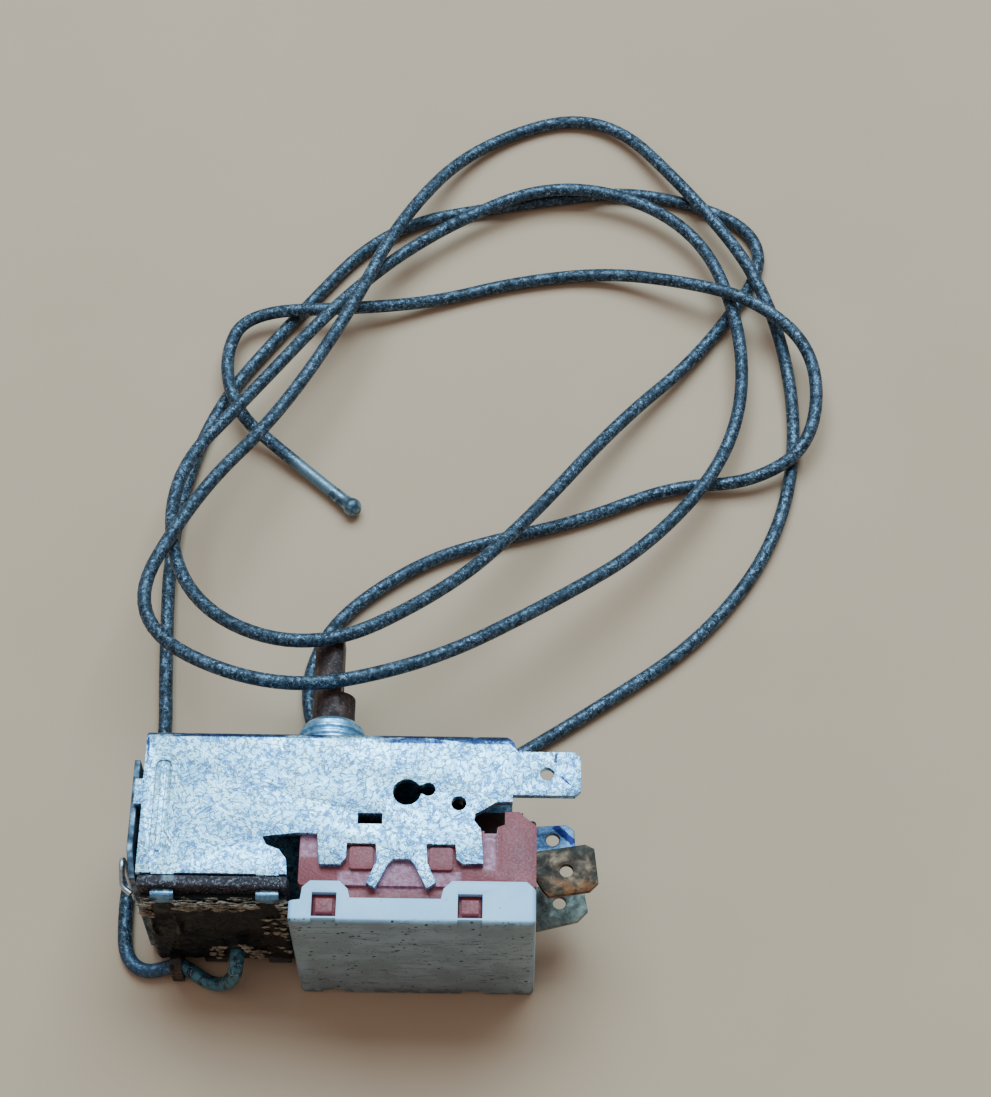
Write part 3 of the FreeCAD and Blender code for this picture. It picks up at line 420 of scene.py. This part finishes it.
def black_compound():
    shader = Shader("black_compound", roughness=0.45, Specular_IOR_Level=0.22)
    smears = shader.noise(0.45, 5.0, 0.6, 1.6)
    crumbs = shader.noise(2.2, 5.0, 0.65)
    colour = shader.ramp(smears, (0.40, (0.003, 0.003, 0.003)), (0.60, (0.008, 0.006, 0.006)),
                         (0.74, (0.024, 0.018, 0.016)))
    colour = shader.mix(shader.remap(crumbs, 0.66, 0.76), colour, (0.16, 0.125, 0.105))
    proud = shader.both(shader.remap(shader.y, -24.15, -24.7),
                        shader.blotches(1.1, 4.0, 0.42, 0.58, 0.6))
    colour = shader.mix(shader.times(proud, 0.7), colour, (0.12, 0.085, 0.065))
    normal = shader.bump(shader.plus(smears, shader.times(crumbs, 0.5)), 0.30, 0.8)
    return shader.finish(colour, shader.remap(smears, 0.40, 0.62, 0.22, 0.60), normal)


def flakes_material():
    shader = Shader("peeling_flakes", roughness=0.8)
    shade = shader.noise(1.1, 6.0, 0.65)
    colour = shader.ramp(shade, (0.32, (0.040, 0.025, 0.018)), (0.46, (0.17, 0.115, 0.080)),
                         (0.58, (0.36, 0.265, 0.185)), (0.74, (0.52, 0.42, 0.31)))
    return shader.finish(colour, None, shader.bump(shader.noise(3.0, 4.0), 0.12, 0.8))


def phenolic():
    shader = Shader("phenolic", roughness=0.45)
    mottling = shader.noise(0.5, 4.0, 0.55)
    grain = shader.noise(3.2, 3.0, 0.6)
    colour = shader.ramp(mottling, (0.35, (0.24, 0.030, 0.034)), (0.65, (0.32, 0.048, 0.052)))
    # painted highlight: the window's pinkish sheen on the recessed faces between the legs, along the
    # strip, over the rows and at the left, as a grainy lightening
    legs = shader.area((31.0, 38.2), (-22.0, -16.0), 0.3, 0.3)
    strip = shader.area((45.2, 47.0), (-19.1, -13.2), 0.15, 0.2)
    rows = shader.area((26.4, 42.4), (-21.5, -19.5), 0.3, 0.15)
    left = shader.area((21.3, 24.0), (-17.6, -14.0), 0.3, 0.3)
    sheen_patches = shader.both(shader.either(legs, strip, rows, left), shader.remap(shader.z, 23.8, 24.1),
                         shader.remap(shader.z, 25.45, 25.3))
    sheen_grain = shader.remap(shader.noise(1.5, 5.0, 0.7), 0.38, 0.60, 0.35, 1.0)
    colour = shader.mix(shader.both(sheen_patches, sheen_grain), colour, (0.56, 0.24, 0.32))
    dirt = shader.blotches(1.1, 6.0, 0.62, 0.74, 0.7)
    colour = shader.mix(shader.times(dirt, 0.6), colour, (0.10, 0.04, 0.04))
    # painted shade: near-black low inside the frame, on the base's faces below the plate
    deep_shade = shader.both(shader.remap(shader.z, 22.4, 21.4), shader.remap(shader.x, 52.1, 51.8),
                       shader.remap(shader.y, -26.0, -25.5))
    colour = shader.mix(shader.times(deep_shade, 0.9), colour, (0.012, 0.006, 0.006))
    rough = shader.remap(grain, 0.4, 0.6, 0.38, 0.55)
    normal = shader.bump(shader.plus(grain, shader.times(shader.both(sheen_patches, sheen_grain), 0.8)),
                         0.12, 0.6)
    return shader.finish(colour, rough, normal)


def white_cap():
    shader = Shader("white_cap", roughness=0.42, Subsurface_Weight=0.08)
    shader.surface.inputs["Subsurface Radius"].default_value = (0.0012, 0.0010, 0.0008)
    # painted reflection: the cap is white plastic; the blue of this ramp is the window mirrored in its
    # top
    reflection_tone = shader.noise(0.12, 3.0)
    colour = shader.ramp(reflection_tone, (0.35, (0.39, 0.65, 0.90)), (0.65, (0.45, 0.71, 0.95)))
    # painted shade with dirt: the front wall, turned away from the window, is given darker grey-blue
    # tones in blotches, which also stand for its dirt
    front = shader.remap(shader.y, -26.3, -26.75)
    front_shade_and_dirt = shader.mix(shader.blotches(0.2, 5.0, 0.38, 0.62, 0.6),
                        (0.20, 0.255, 0.285), (0.275, 0.345, 0.385))
    colour = shader.mix(front, colour, front_shade_and_dirt)
    lines = shader.noise(0.8, 5.0, 0.7, 0.8, shader.stretch((0.10, 1.0, 1.3)))
    scratches = shader.both(shader.band(lines, 0.575, 0.60, 0.010),
                            shader.blotches(0.2, 2.0, 0.42, 0.56))
    where = shader.blotches(0.30, 3.0, 0.44, 0.58, 0.6)
    specks = shader.both(shader.remap(shader.cells(0.8), 0.23, 0.15), where)
    crumbs = shader.both(shader.remap(shader.cells(1.7), 0.24, 0.14),
                         shader.blotches(0.45, 3.0, 0.50, 0.60))
    streaks = shader.cells(0.8, place=shader.stretch((0.40, 1.0, 2.0)))
    smudges = shader.both(shader.remap(streaks, 0.30, 0.14),
                          shader.blotches(0.24, 4.0, 0.50, 0.60, 0.6))
    low_edge = shader.both(shader.remap(shader.z, 3.0, 0.8), shader.blotches(0.6, 4.0, 0.42, 0.56))
    marks = shader.either(shader.times(scratches, 0.55), specks, crumbs,
                          shader.times(smudges, 0.8), shader.times(low_edge, 0.6))
    marks = shader.both(marks, front)
    colour = shader.mix(marks, colour, (0.012, 0.013, 0.012))
    top_specks = shader.both(shader.remap(shader.cells(0.5), 0.09, 0.05),
                             shader.remap(shader.z, 25.0, 25.8))
    colour = shader.mix(shader.times(top_specks, 0.6), colour, (0.16, 0.16, 0.15))
    rough = shader.plus(shader.times(shader.noise(1.5, 3.0), 0.16), 0.34)
    normal = shader.bump(shader.noise(0.7, 5.0, 0.6), 0.12, 0.4)
    return shader.finish(colour, rough, shader.bump(marks, 0.08, 0.6, normal))


def tarnished_brass():
    shader = Shader("tarnished_brass", metallic=0.45, roughness=0.5)
    patches = shader.noise(0.5, 6.0, 0.65, 0.5)
    colour = shader.ramp(patches, (0.34, (0.012, 0.005, 0.003)), (0.46, (0.048, 0.021, 0.007)),
                         (0.58, (0.105, 0.048, 0.017)), (0.72, (0.20, 0.115, 0.055)))
    rust = shader.both(shader.remap(shader.y, -17.6, -19.4), shader.blotches(0.7, 4.0, 0.44, 0.56))
    colour = shader.mix(shader.times(rust, 0.7), colour, (0.24, 0.075, 0.016))
    rim = shader.both(shader.blotches(1.2, 4.0, 0.40, 0.55),
                      shader.either(shader.remap(shader.y, -14.9, -14.2),
                                    shader.remap(shader.x, 59.2, 59.9),
                                    shader.remap(shader.x, 53.6, 52.8)))
    colour = shader.mix(shader.times(rim, 0.8), colour, (0.020, 0.016, 0.010))
    spots = shader.remap(shader.cells(1.1), 0.16, 0.08)
    colour = shader.mix(shader.times(spots, 0.8), colour, (0.020, 0.015, 0.012))
    normal = shader.bump(shader.plus(patches, shader.times(shader.noise(3.0, 4.0), 0.5)), 0.14, 0.7)
    return shader.finish(colour, shader.remap(patches, 0.35, 0.65, 0.62, 0.36), normal)


def oxidised_zinc():
    shader = Shader("oxidised_zinc", metallic=0.4, roughness=0.52)
    patches = shader.noise(0.5, 6.0, 0.65, 0.4)
    colour = shader.ramp(patches, (0.34, (0.060, 0.058, 0.046)), (0.50, (0.165, 0.165, 0.135)),
                         (0.64, (0.30, 0.29, 0.24)), (0.78, (0.50, 0.48, 0.43)))
    normal = shader.bump(shader.plus(patches, shader.times(shader.noise(3.0, 4.0), 0.5)), 0.12, 0.7)
    return shader.finish(colour, shader.remap(patches, 0.35, 0.65, 0.62, 0.38), normal)


def zinc_terminal():
    shader = Shader("zinc_terminal", metallic=0.8, roughness=0.38)
    tone, feathers, outline, _ = spangle(shader, 0.8)
    level, colour = zinc_colours(shader, tone, feathers, outline)
    colour = shader.mix(0.8, colour, (0.05, 0.09, 0.22))
    marks = shader.either(shader.stroke((54.6, -9.4), (57.3, -11.9), 0.9),
                          shader.stroke((52.4, -13.2), (54.0, -14.4), 0.4))
    return shader.finish(shader.mix(marks, colour, INK), None, shader.bump(level, 0.04, 0.5))


def contact_metal():
    shader = Shader("contact_metal", metallic=1.0, roughness=0.35)
    wear = shader.noise(1.5, 4.0)
    colour = shader.ramp(wear, (0.35, (0.42, 0.30, 0.13)), (0.65, (0.68, 0.52, 0.27)))
    rough = shader.remap(wear, 0.35, 0.65, 0.28, 0.45)
    return shader.finish(colour, rough, shader.bump(wear, 0.02, 0.3))


def pin_plastic():
    shader = Shader("pin_plastic", roughness=0.5)
    shade = shader.noise(1.2, 3.0)
    colour = shader.ramp(shade, (0.3, (0.60, 0.58, 0.50)), (0.7, (0.70, 0.68, 0.60)))
    return shader.finish(colour, None, shader.bump(shade, 0.03, 0.3))


def capillary_metal():
    shader = Shader("capillary_metal", metallic=0.5, roughness=0.5)
    patches = shader.noise(0.22, 5.0, 0.62, 0.3)
    mottling = shader.noise(1.2, 5.0, 0.72, 0.5)
    frost = shader.both(shader.remap(shader.noise(2.6, 4.0, 0.75, 0.8), 0.53, 0.64),
                        shader.remap(patches, 0.36, 0.56, 0.25, 1.0))
    colour = shader.ramp(mottling, (0.38, (0.007, 0.010, 0.016)), (0.50, (0.024, 0.037, 0.055)),
                         (0.60, (0.062, 0.092, 0.130)), (0.74, (0.15, 0.21, 0.27)))
    colour = shader.mix(shader.times(frost, 0.75), colour, (0.34, 0.47, 0.62))
    front = shader.remap(shader.y, -21.0, -23.5)
    blue = shader.both(front, shader.remap(shader.x, 4.2, 3.0))
    colour = shader.mix(shader.times(blue, 0.35), colour, (0.08, 0.15, 0.26))
    verdigris = shader.both(front, shader.remap(shader.x, 3.0, 4.4),
                            shader.blotches(0.9, 4.0, 0.38, 0.56))
    colour = shader.mix(shader.times(verdigris, 0.7), colour, (0.10, 0.27, 0.31))
    near_tip = shader.both(shader.remap(shader.z, 4.0, 3.2), shader.band(shader.x, 14.0, 27.0, 1.5),
                           shader.band(shader.y, 47.0, 58.0, 1.5))
    colour = shader.mix(shader.times(near_tip, 0.6), colour, (0.22, 0.31, 0.37))
    rough = shader.minus(shader.remap(mottling, 0.4, 0.6, 0.62, 0.40),
                        shader.times(near_tip, 0.14))
    normal = shader.bump(mottling, 0.09, 0.6)
    return shader.finish(colour, rough, normal)


def solder():
    shader = Shader("solder", metallic=0.75, roughness=0.3)
    patches = shader.noise(0.9, 4.0, 0.6, 0.6)
    colour = shader.ramp(patches, (0.38, (0.055, 0.085, 0.11)), (0.52, (0.15, 0.21, 0.26)),
                         (0.7, (0.34, 0.43, 0.50)))
    rough = shader.remap(patches, 0.4, 0.6, 0.42, 0.25)
    return shader.finish(colour, rough, shader.bump(patches, 0.08, 0.4))


def floor_material():
    shader = Shader("floor", roughness=0.75)
    shade = shader.noise(0.012, 4.0, 0.6)
    grain = shader.noise(0.6, 3.0)
    colour = shader.ramp(shade, (0.3, (0.55, 0.325, 0.20)), (0.7, (0.60, 0.36, 0.225)))
    return shader.finish(colour, None, shader.bump(grain, 0.05, 0.12))


# ---------------------------------------------------------------- mesh helpers
def link(name, mesh, material):
    item = bpy.data.objects.new(name, mesh)
    bpy.context.scene.collection.objects.link(item)
    mesh.materials.clear()
    mesh.materials.append(material)
    return item


def apply_modifiers(item):
    graph = bpy.context.evaluated_depsgraph_get()
    mesh = bpy.data.meshes.new_from_object(item.evaluated_get(graph))
    item.modifiers.clear()
    item.data = mesh
    return item


def smooth(mesh, degrees=35.0):
    mesh.shade_smooth()
    mesh.set_sharp_from_angle(angle=math.radians(degrees))


def welded_copy(node):
    """A copy of a CAD node's mesh with whole flat faces instead of triangles."""
    mesh = NODES[node].data.copy()
    shape = bmesh.new()
    shape.from_mesh(mesh)
    bmesh.ops.remove_doubles(shape, verts=shape.verts, dist=0.002 * MM)
    bmesh.ops.dissolve_limit(shape, angle_limit=math.radians(1.0), verts=shape.verts, edges=shape.edges)
    shape.to_mesh(mesh)
    shape.free()
    return mesh


def softened(node, body, material, slot, radius, segments=2):
    """The CAD node's shape with its sharp edges rounded over."""
    item = link(node + "_finished", welded_copy(node), material)
    edge = item.modifiers.new("edges", "BEVEL")
    edge.width = radius * MM
    edge.segments = segments
    edge.limit_method = "ANGLE"
    edge.angle_limit = math.radians(32.0)
    edge.miter_outer = "MITER_ARC"
    edge.use_clamp_overlap = True
    apply_modifiers(item)
    smooth(item.data, 40.0)
    return settle(item, body, slot, node)


def settle(item, body, slot, *replaced):
    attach(item, body)
    if replaced:
        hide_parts(*replaced)
    return item


def roughened(node, body, material, slot, voxel, depth, grain):
    """The CAD node's shape as a crusted, pitted surface."""
    item = link(node + "_crust", welded_copy(node), material)
    remesh = item.modifiers.new("voxels", "REMESH")
    remesh.mode = "VOXEL"
    remesh.voxel_size = voxel * MM
    apply_modifiers(item)
    mesh = item.data
    normals = [vertex.normal.copy() for vertex in mesh.vertices]
    for vertex, normal in zip(mesh.vertices, normals):
        place = vertex.co / MM / grain
        height = noise.fractal(place, 1.0, 2.1, 4) - 0.15
        vertex.co += normal * height * depth * MM
    smooth(mesh, 60.0)
    return settle(item, body, slot, node)


def tube(name, points, radius, material, body, slot, *replaced, sides=6):
    """A round wire along a smooth line through the given workshop points."""
    curve = bpy.data.curves.new(name, "CURVE")
    curve.dimensions = "3D"
    curve.bevel_depth = radius * MM
    curve.bevel_resolution = sides
    curve.use_fill_caps = True
    spline = curve.splines.new("NURBS")
    spline.points.add(len(points) - 1)
    for target, point in zip(spline.points, points):
        target.co = (*at(*point), 1.0)
    spline.order_u = 3
    spline.use_endpoint_u = True
    spline.resolution_u = 12
    curve.materials.append(material)
    item = bpy.data.objects.new(name, curve)
    bpy.context.scene.collection.objects.link(item)
    return settle(item, body, slot, *replaced)


# ---------------------------------------------------------------- capillary
def capillary(material):
    line = tube("capillary_line", ROUTE, TUBE_D / 2, material, HOUSING, "capillary", "capillary_tube",
                sides=7)


def lathe(name, profile, start, along, material, body, slot, *replaced, sides=48, open_ends=False):
    """A turned piece: (distance, radius) pairs, in mm, swung round the line from start.

    Its ends are capped, or joined to each other where the piece has a bore.
    """
    axis = Vector(along).normalized()
    side = axis.cross(Vector((0, 0, 1)) if abs(axis.z) < 0.9 else Vector((1, 0, 0))).normalized()
    other = axis.cross(side)
    shape = bmesh.new()
    rings = []
    for distance, radius in profile:
        centre = Vector(start) + axis * distance
        ring = []
        for i in range(sides):
            angle = 2 * math.pi * i / sides
            offset = side * math.cos(angle) + other * math.sin(angle)
            ring.append(shape.verts.new(at(*(centre + offset * radius))))
        rings.append(ring)
    ends = rings[-1:] + rings[:1] if open_ends else []
    for low, high in list(zip(rings, rings[1:])) + [tuple(ends)] * bool(ends):
        for i in range(sides):
            j = (i + 1) % sides
            shape.faces.new((low[i], low[j], high[j], high[i]))
    if not open_ends:
        shape.faces.new(rings[0])
        shape.faces.new(rings[-1])
    bmesh.ops.recalc_face_normals(shape, faces=shape.faces)
    mesh = bpy.data.meshes.new(name)
    shape.to_mesh(mesh)
    shape.free()
    smooth(mesh, 40.0)
    return settle(link(name, mesh, material), body, slot, *replaced)


def sensing_tip(material):
    """The capillary's sealed end: a tinned neck that swells into a round bead."""
    last = Vector(ROUTE[-1])
    along = (last - Vector(ROUTE[-2])).normalized()
    bead_r = 1.45
    neck_r = TUBE_D / 2 + 0.04
    centre = bead_r - 0.35
    profile = [(-3.2, neck_r - 0.03), (-2.2, neck_r), (-1.2, neck_r + 0.05)]
    steps = 14
    for i in range(steps + 1):
        angle = math.radians(128) - math.radians(128 - 3) * i / steps
        profile.append((centre + bead_r * -math.cos(math.pi - angle), bead_r * math.sin(angle)))
    return lathe("sensing_bead", profile, last, along, material, HOUSING, "solder", "capillary_tip")


def threaded_bushing(material):
    """The bushing with its thread's rings, a broad chamfer and its running bore."""
    outer = 4.7
    root = outer - 0.35
    bore = 3.05
    spigot = 4.2
    flange = 6.0
    length = 7.0
    pitch = 1.0
    turns = 6
    profile = [(-2.2, bore), (-2.2, flange - 0.05), (-2.15, flange), (-1.0, flange),
               (-1.0, spigot), (0.0, spigot), (0.02, outer)]
    for i in range(turns):
        crest = 0.25 + i * pitch
        profile += [(crest, outer), (crest + 0.25, outer), (crest + 0.55, root), (crest + 0.75, root)]
    profile += [(length - 0.7, 4.35), (length - 0.05, 3.75), (length, 3.6), (length, bore + 0.1),
                (length - 0.1, bore)]
    return lathe("bushing_thread", profile, SHAFT_AXIS, (0, 1, 0), material, HOUSING, "bushing_zinc",
                 "bushing", open_ends=True)


# ---------------------------------------------------------------- sealing compound
COMPOUND_BACK = -22.45
COMPOUND_FACE = -23.55
EXIT_X, _, EXIT_Z = ROUTE[0]


def compound_height(x, z):
    """How far the smeared compound stands out of its skirt, in mm, at a place on the cup's front."""
    place = Vector((x, 0.0, z))
    lumps = noise.fractal(place / 3.2 + Vector((5.1, 0, 2.0)), 1.0, 2.1, 4)
    wrinkles = noise.ridged_multi_fractal(place / 2.2 + Vector((1.7, 0, 9.0)), 0.9, 2.2, 4, 0.9, 2.0)
    height = 0.35 * lumps + 0.16 * (wrinkles - 1.0)
    for ridge_x, bow, low, high in ((1.9, 0.5, 11.0, 18.5), (4.6, -0.5, 13.0, 19.0)):
        if low < z < high:
            share = (z - low) / (high - low)
            middle = ridge_x - bow * math.sin(math.pi * share)
            height += 0.75 * math.exp(-((x - middle) / 0.32) ** 2) * math.sin(math.pi * share) ** 0.5
    for k in range(4):
        crest = 9.0 + 3.1 * k + 0.9 * math.sin(x / 2.6 + k)
        swing = max(0.0, math.sin((x - 5.0) / 4.0 + 0.8 * k))
        height += 0.35 * math.exp(-((z - crest) / 0.45) ** 2) * swing
    exit_gap = math.hypot(x - EXIT_X, z - EXIT_Z)
    height += 0.9 * math.exp(-((exit_gap - 2.3) / 0.6) ** 2) * (1.0 if z > 6.5 else 0.4)
    return height


def compound_sheet(material):
    """Greasy black compound: a closed slab whose front is sculpted with lumps, ridges and wrinkles."""
    x0, x1, z0, z1 = 0.6, 19.8, 2.5, 23.6
    columns = 120
    rows = 130
    rim_cells = 6.0
    port_r = 1.55
    port_floor = -24.1
    lowest = -25.6
    shape = bmesh.new()
    grid = []
    for i in range(columns + 1):
        line = []
        for j in range(rows + 1):
            x = x0 + (x1 - x0) * i / columns
            z = z0 + (z1 - z0) * j / rows
            rim = min(i, columns - i, j, rows - j)
            swell = min(1.0, rim / rim_cells)
            ragged = 0.35 * noise.noise(Vector((x / 1.3, 3.0, z / 1.3))) * (1.0 - swell)
            plain = COMPOUND_BACK + (COMPOUND_FACE - COMPOUND_BACK) * (0.45 + 0.55 * math.sqrt(swell))
            depth = plain - compound_height(x, z) * swell
            if math.hypot(x - EXIT_X, z - EXIT_Z) < port_r:
                depth = max(depth, port_floor)
            line.append(shape.verts.new(at(x + ragged, max(depth, lowest), z + ragged)))
        grid.append(line)
    rear = [[shape.verts.new(at(x, COMPOUND_BACK, z)) for z in (z0, z1)] for x in (x0, x1)]
    for i in range(columns):
        for j in range(rows):
            shape.faces.new((grid[i][j], grid[i + 1][j], grid[i + 1][j + 1], grid[i][j + 1]))
    shape.faces.new([rear[0][0], rear[1][0]] + [grid[i][0] for i in range(columns, -1, -1)])
    shape.faces.new([rear[1][1], rear[0][1]] + [grid[i][rows] for i in range(columns + 1)])
    shape.faces.new([rear[0][1], rear[0][0]] + [grid[0][j] for j in range(rows + 1)])
    shape.faces.new([rear[1][0], rear[1][1]] + [grid[columns][j] for j in range(rows, -1, -1)])
    shape.faces.new((rear[0][0], rear[0][1], rear[1][1], rear[1][0]))
    bmesh.ops.recalc_face_normals(shape, faces=shape.faces)
    mesh = bpy.data.meshes.new("compound_sheet")
    shape.to_mesh(mesh)
    shape.free()
    smooth(mesh, 60.0)
    return settle(link("compound_sheet", mesh, material), HOUSING, "sealant", "cup_sealant")


def flake(shape, dice, x, y, z, size, stretch):
    """One curled scale of dried paint, with an uneven outline and a real thickness."""
    sides = 9
    thickness = 0.10
    turn = dice.uniform(-0.35, 0.35)
    lift = dice.uniform(0.05, 0.5)
    rings = []
    for layer in (0.0, thickness):
        centre = shape.verts.new(at(x, y - layer, z))
        ring = []
        for i in range(sides):
            angle = 2 * math.pi * i / sides
            reach = size * (0.65 + 0.5 * noise.noise(Vector((x * 3 + i * 1.7, z * 3, 0.0))))
            dx = reach * stretch * math.cos(angle)
            dz = reach * math.sin(angle)
            dx, dz = (dx * math.cos(turn) - dz * math.sin(turn),
                      dx * math.sin(turn) + dz * math.cos(turn))
            crinkle = 0.12 * noise.noise(Vector((x + dx * 2, 1.0, z + dz * 2)))
            curl = lift * (dz / size) ** 2 * 0.5 + crinkle
            ring.append(shape.verts.new(at(x + dx, y - layer - curl, z + dz)))
        rings.append((centre, ring))
    for i in range(sides):
        j = (i + 1) % sides
        shape.faces.new((rings[0][0], rings[0][1][j], rings[0][1][i]))
        shape.faces.new((rings[1][0], rings[1][1][i], rings[1][1][j]))
        shape.faces.new((rings[0][1][i], rings[0][1][j], rings[1][1][j], rings[1][1][i]))


def peeling_flakes(material):
    """Tan scales of old paint that peel off the compound's rim and round the capillary.

    The zones give a count, a range of x, a range of z, a size and how much wider than high a scale is.
    """
    dice = random.Random(7)
    shape = bmesh.new()
    zones = (
        (26, (0.6, 1.9), (18.6, 23.2), 0.55, 1.3),
        (40, (5.3, 15.4), (21.3, 23.3), 0.55, 2.6),
        (14, (18.7, 19.6), (17.5, 23.0), 0.5, 1.2),
        (18, (16.2, 19.6), (12.0, 19.0), 0.50, 1.6),
        (9, (14.6, 19.2), (5.5, 12.0), 0.50, 2.0),
    )
    for count, (x0, x1), (z0, z1), size, stretch in zones:
        for _ in range(count):
            x = dice.uniform(x0, x1)
            z = dice.uniform(z0, z1)
            y = COMPOUND_FACE - max(0.0, compound_height(x, z)) - dice.uniform(0.0, 0.12)
            flake(shape, dice, x, max(y, -24.9), z, size * dice.uniform(0.5, 1.15), stretch)
    shelf = ((14, (0.5, 2.4), 0.5), (60, (5.2, 15.6), 0.55), (12, (18.4, 19.7), 0.45))
    for count, (x0, x1), size in shelf:
        for _ in range(count):
            x = dice.uniform(x0, x1)
            flake(shape, dice, x, dice.uniform(-24.0, -22.9), dice.uniform(23.2, 23.7),
                  size * dice.uniform(0.5, 1.1), 2.0)
    for _ in range(30):
        angle = dice.uniform(-0.2, 1.2) * math.pi
        reach = dice.uniform(1.9, 3.6)
        x = EXIT_X + reach * math.cos(angle)
        z = EXIT_Z + reach * math.sin(angle)
        flake(shape, dice, x, -24.4 - dice.uniform(0.0, 0.25), z, dice.uniform(0.3, 0.6), 1.5)
    bmesh.ops.recalc_face_normals(shape, faces=shape.faces)
    mesh = bpy.data.meshes.new("peeling_flakes")
    shape.to_mesh(mesh)
    shape.free()
    return settle(link("peeling_flakes", mesh, material), HOUSING, "sealant")


# ---------------------------------------------------------------- light and floor
def light(name, place, target, size, power, colour):
    data = bpy.data.lights.new(name, "AREA")
    data.shape = "RECTANGLE"
    data.size = size[0]
    data.size_y = size[1]
    data.energy = power
    data.color = colour
    item = bpy.data.objects.new(name, data)
    item.location = place
    item.rotation_euler = (Vector(target) - Vector(place)).to_track_quat("-Z", "Y").to_euler()
    bpy.context.scene.collection.objects.link(item)


def studio():
    light("window", (0.05, 0.55, 0.95), (0.02, 0.0, 0.0), (1.0, 0.72), 23.0, (0.48, 0.80, 1.0))
    light("ceiling", (-0.35, -0.2, 1.1), (0.0, 0.02, 0.0), (1.0, 1.0), 1.5, (0.95, 0.97, 1.0))
    world = bpy.data.worlds.new("room")
    world.use_nodes = True
    background = world.node_tree.nodes["Background"]
    background.inputs["Color"].default_value = (0.88, 0.95, 1.0, 1.0)
    background.inputs["Strength"].default_value = 0.30
    bpy.context.scene.world = world


def floor():
    reach = 2.5
    drop = 0.00003
    mesh = bpy.data.meshes.new("floor")
    corners = [(x * reach, y * reach, -drop) for x, y in ((-1, -1), (1, -1), (1, 1), (-1, 1))]
    mesh.from_pydata(corners, [], [(0, 1, 2, 3)])
    link("floor", mesh, floor_material())


# ---------------------------------------------------------------- make everything
def dress_nodes():
    """Give each CAD node that stays visible its material."""
    finishes = (
        (blackened_steel(), ["range_screw", "differential_screw", "screw_block"]),
        (plain_steel(), ["shaft_clip", "spring_washer", "range_lever",
                         "range_post", "range_spring", "lever_pin", "main_lever", "cam", "bellows_stud",
                         "toggle_spring", "wire_hook"]),
        (contact_metal(), ["bellows", "fixed_contact", "moving_contact", "snap_blade",
                           "terminal_rivets"]),
        (pin_plastic(), ["push_pin"]),
    )
    for material, nodes in finishes:
        for node in nodes:
            paint(node, material)


def paint(node, material):
    mesh = NODES[node].data
    mesh.materials.clear()
    mesh.materials.append(material)


camera()
tip = sensing_tip(solder())
capillary(capillary_metal())
dress_nodes()
softened("frame", HOUSING, zinc_plate(), "zinc", 0.10)
softened("switch_base", HOUSING, phenolic(), "phenolic", 0.12)
softened("switch_cap", HOUSING, white_cap(), "cap_plastic", 0.22, 3)
softened("terminal_zinc", HOUSING, zinc_terminal(), "zinc", 0.12)
softened("terminal_brown", HOUSING, tarnished_brass(), "tarnished_brass", 0.12)
softened("terminal_grey", HOUSING, oxidised_zinc(), "oxidised_zinc", 0.12)
softened("end_plate", HOUSING, dark_strip(), "zinc", 0.1)
threaded_bushing(bushing_zinc())
softened("shaft", "spindle", rusty_shaft(), "rusty_shaft", 0.15)
compound = black_compound()
roughened("bellows_cup", HOUSING, rusty_cup(), "rusty_cup", 0.16, 0.08, 0.9)
compound_sheet(compound)
peeling_flakes(flakes_material())
softened("capillary_clip", HOUSING, compound, "sealant", 0.15)
softened("capillary_ferrule", HOUSING, compound, "sealant", 0.1)
studio()
floor()
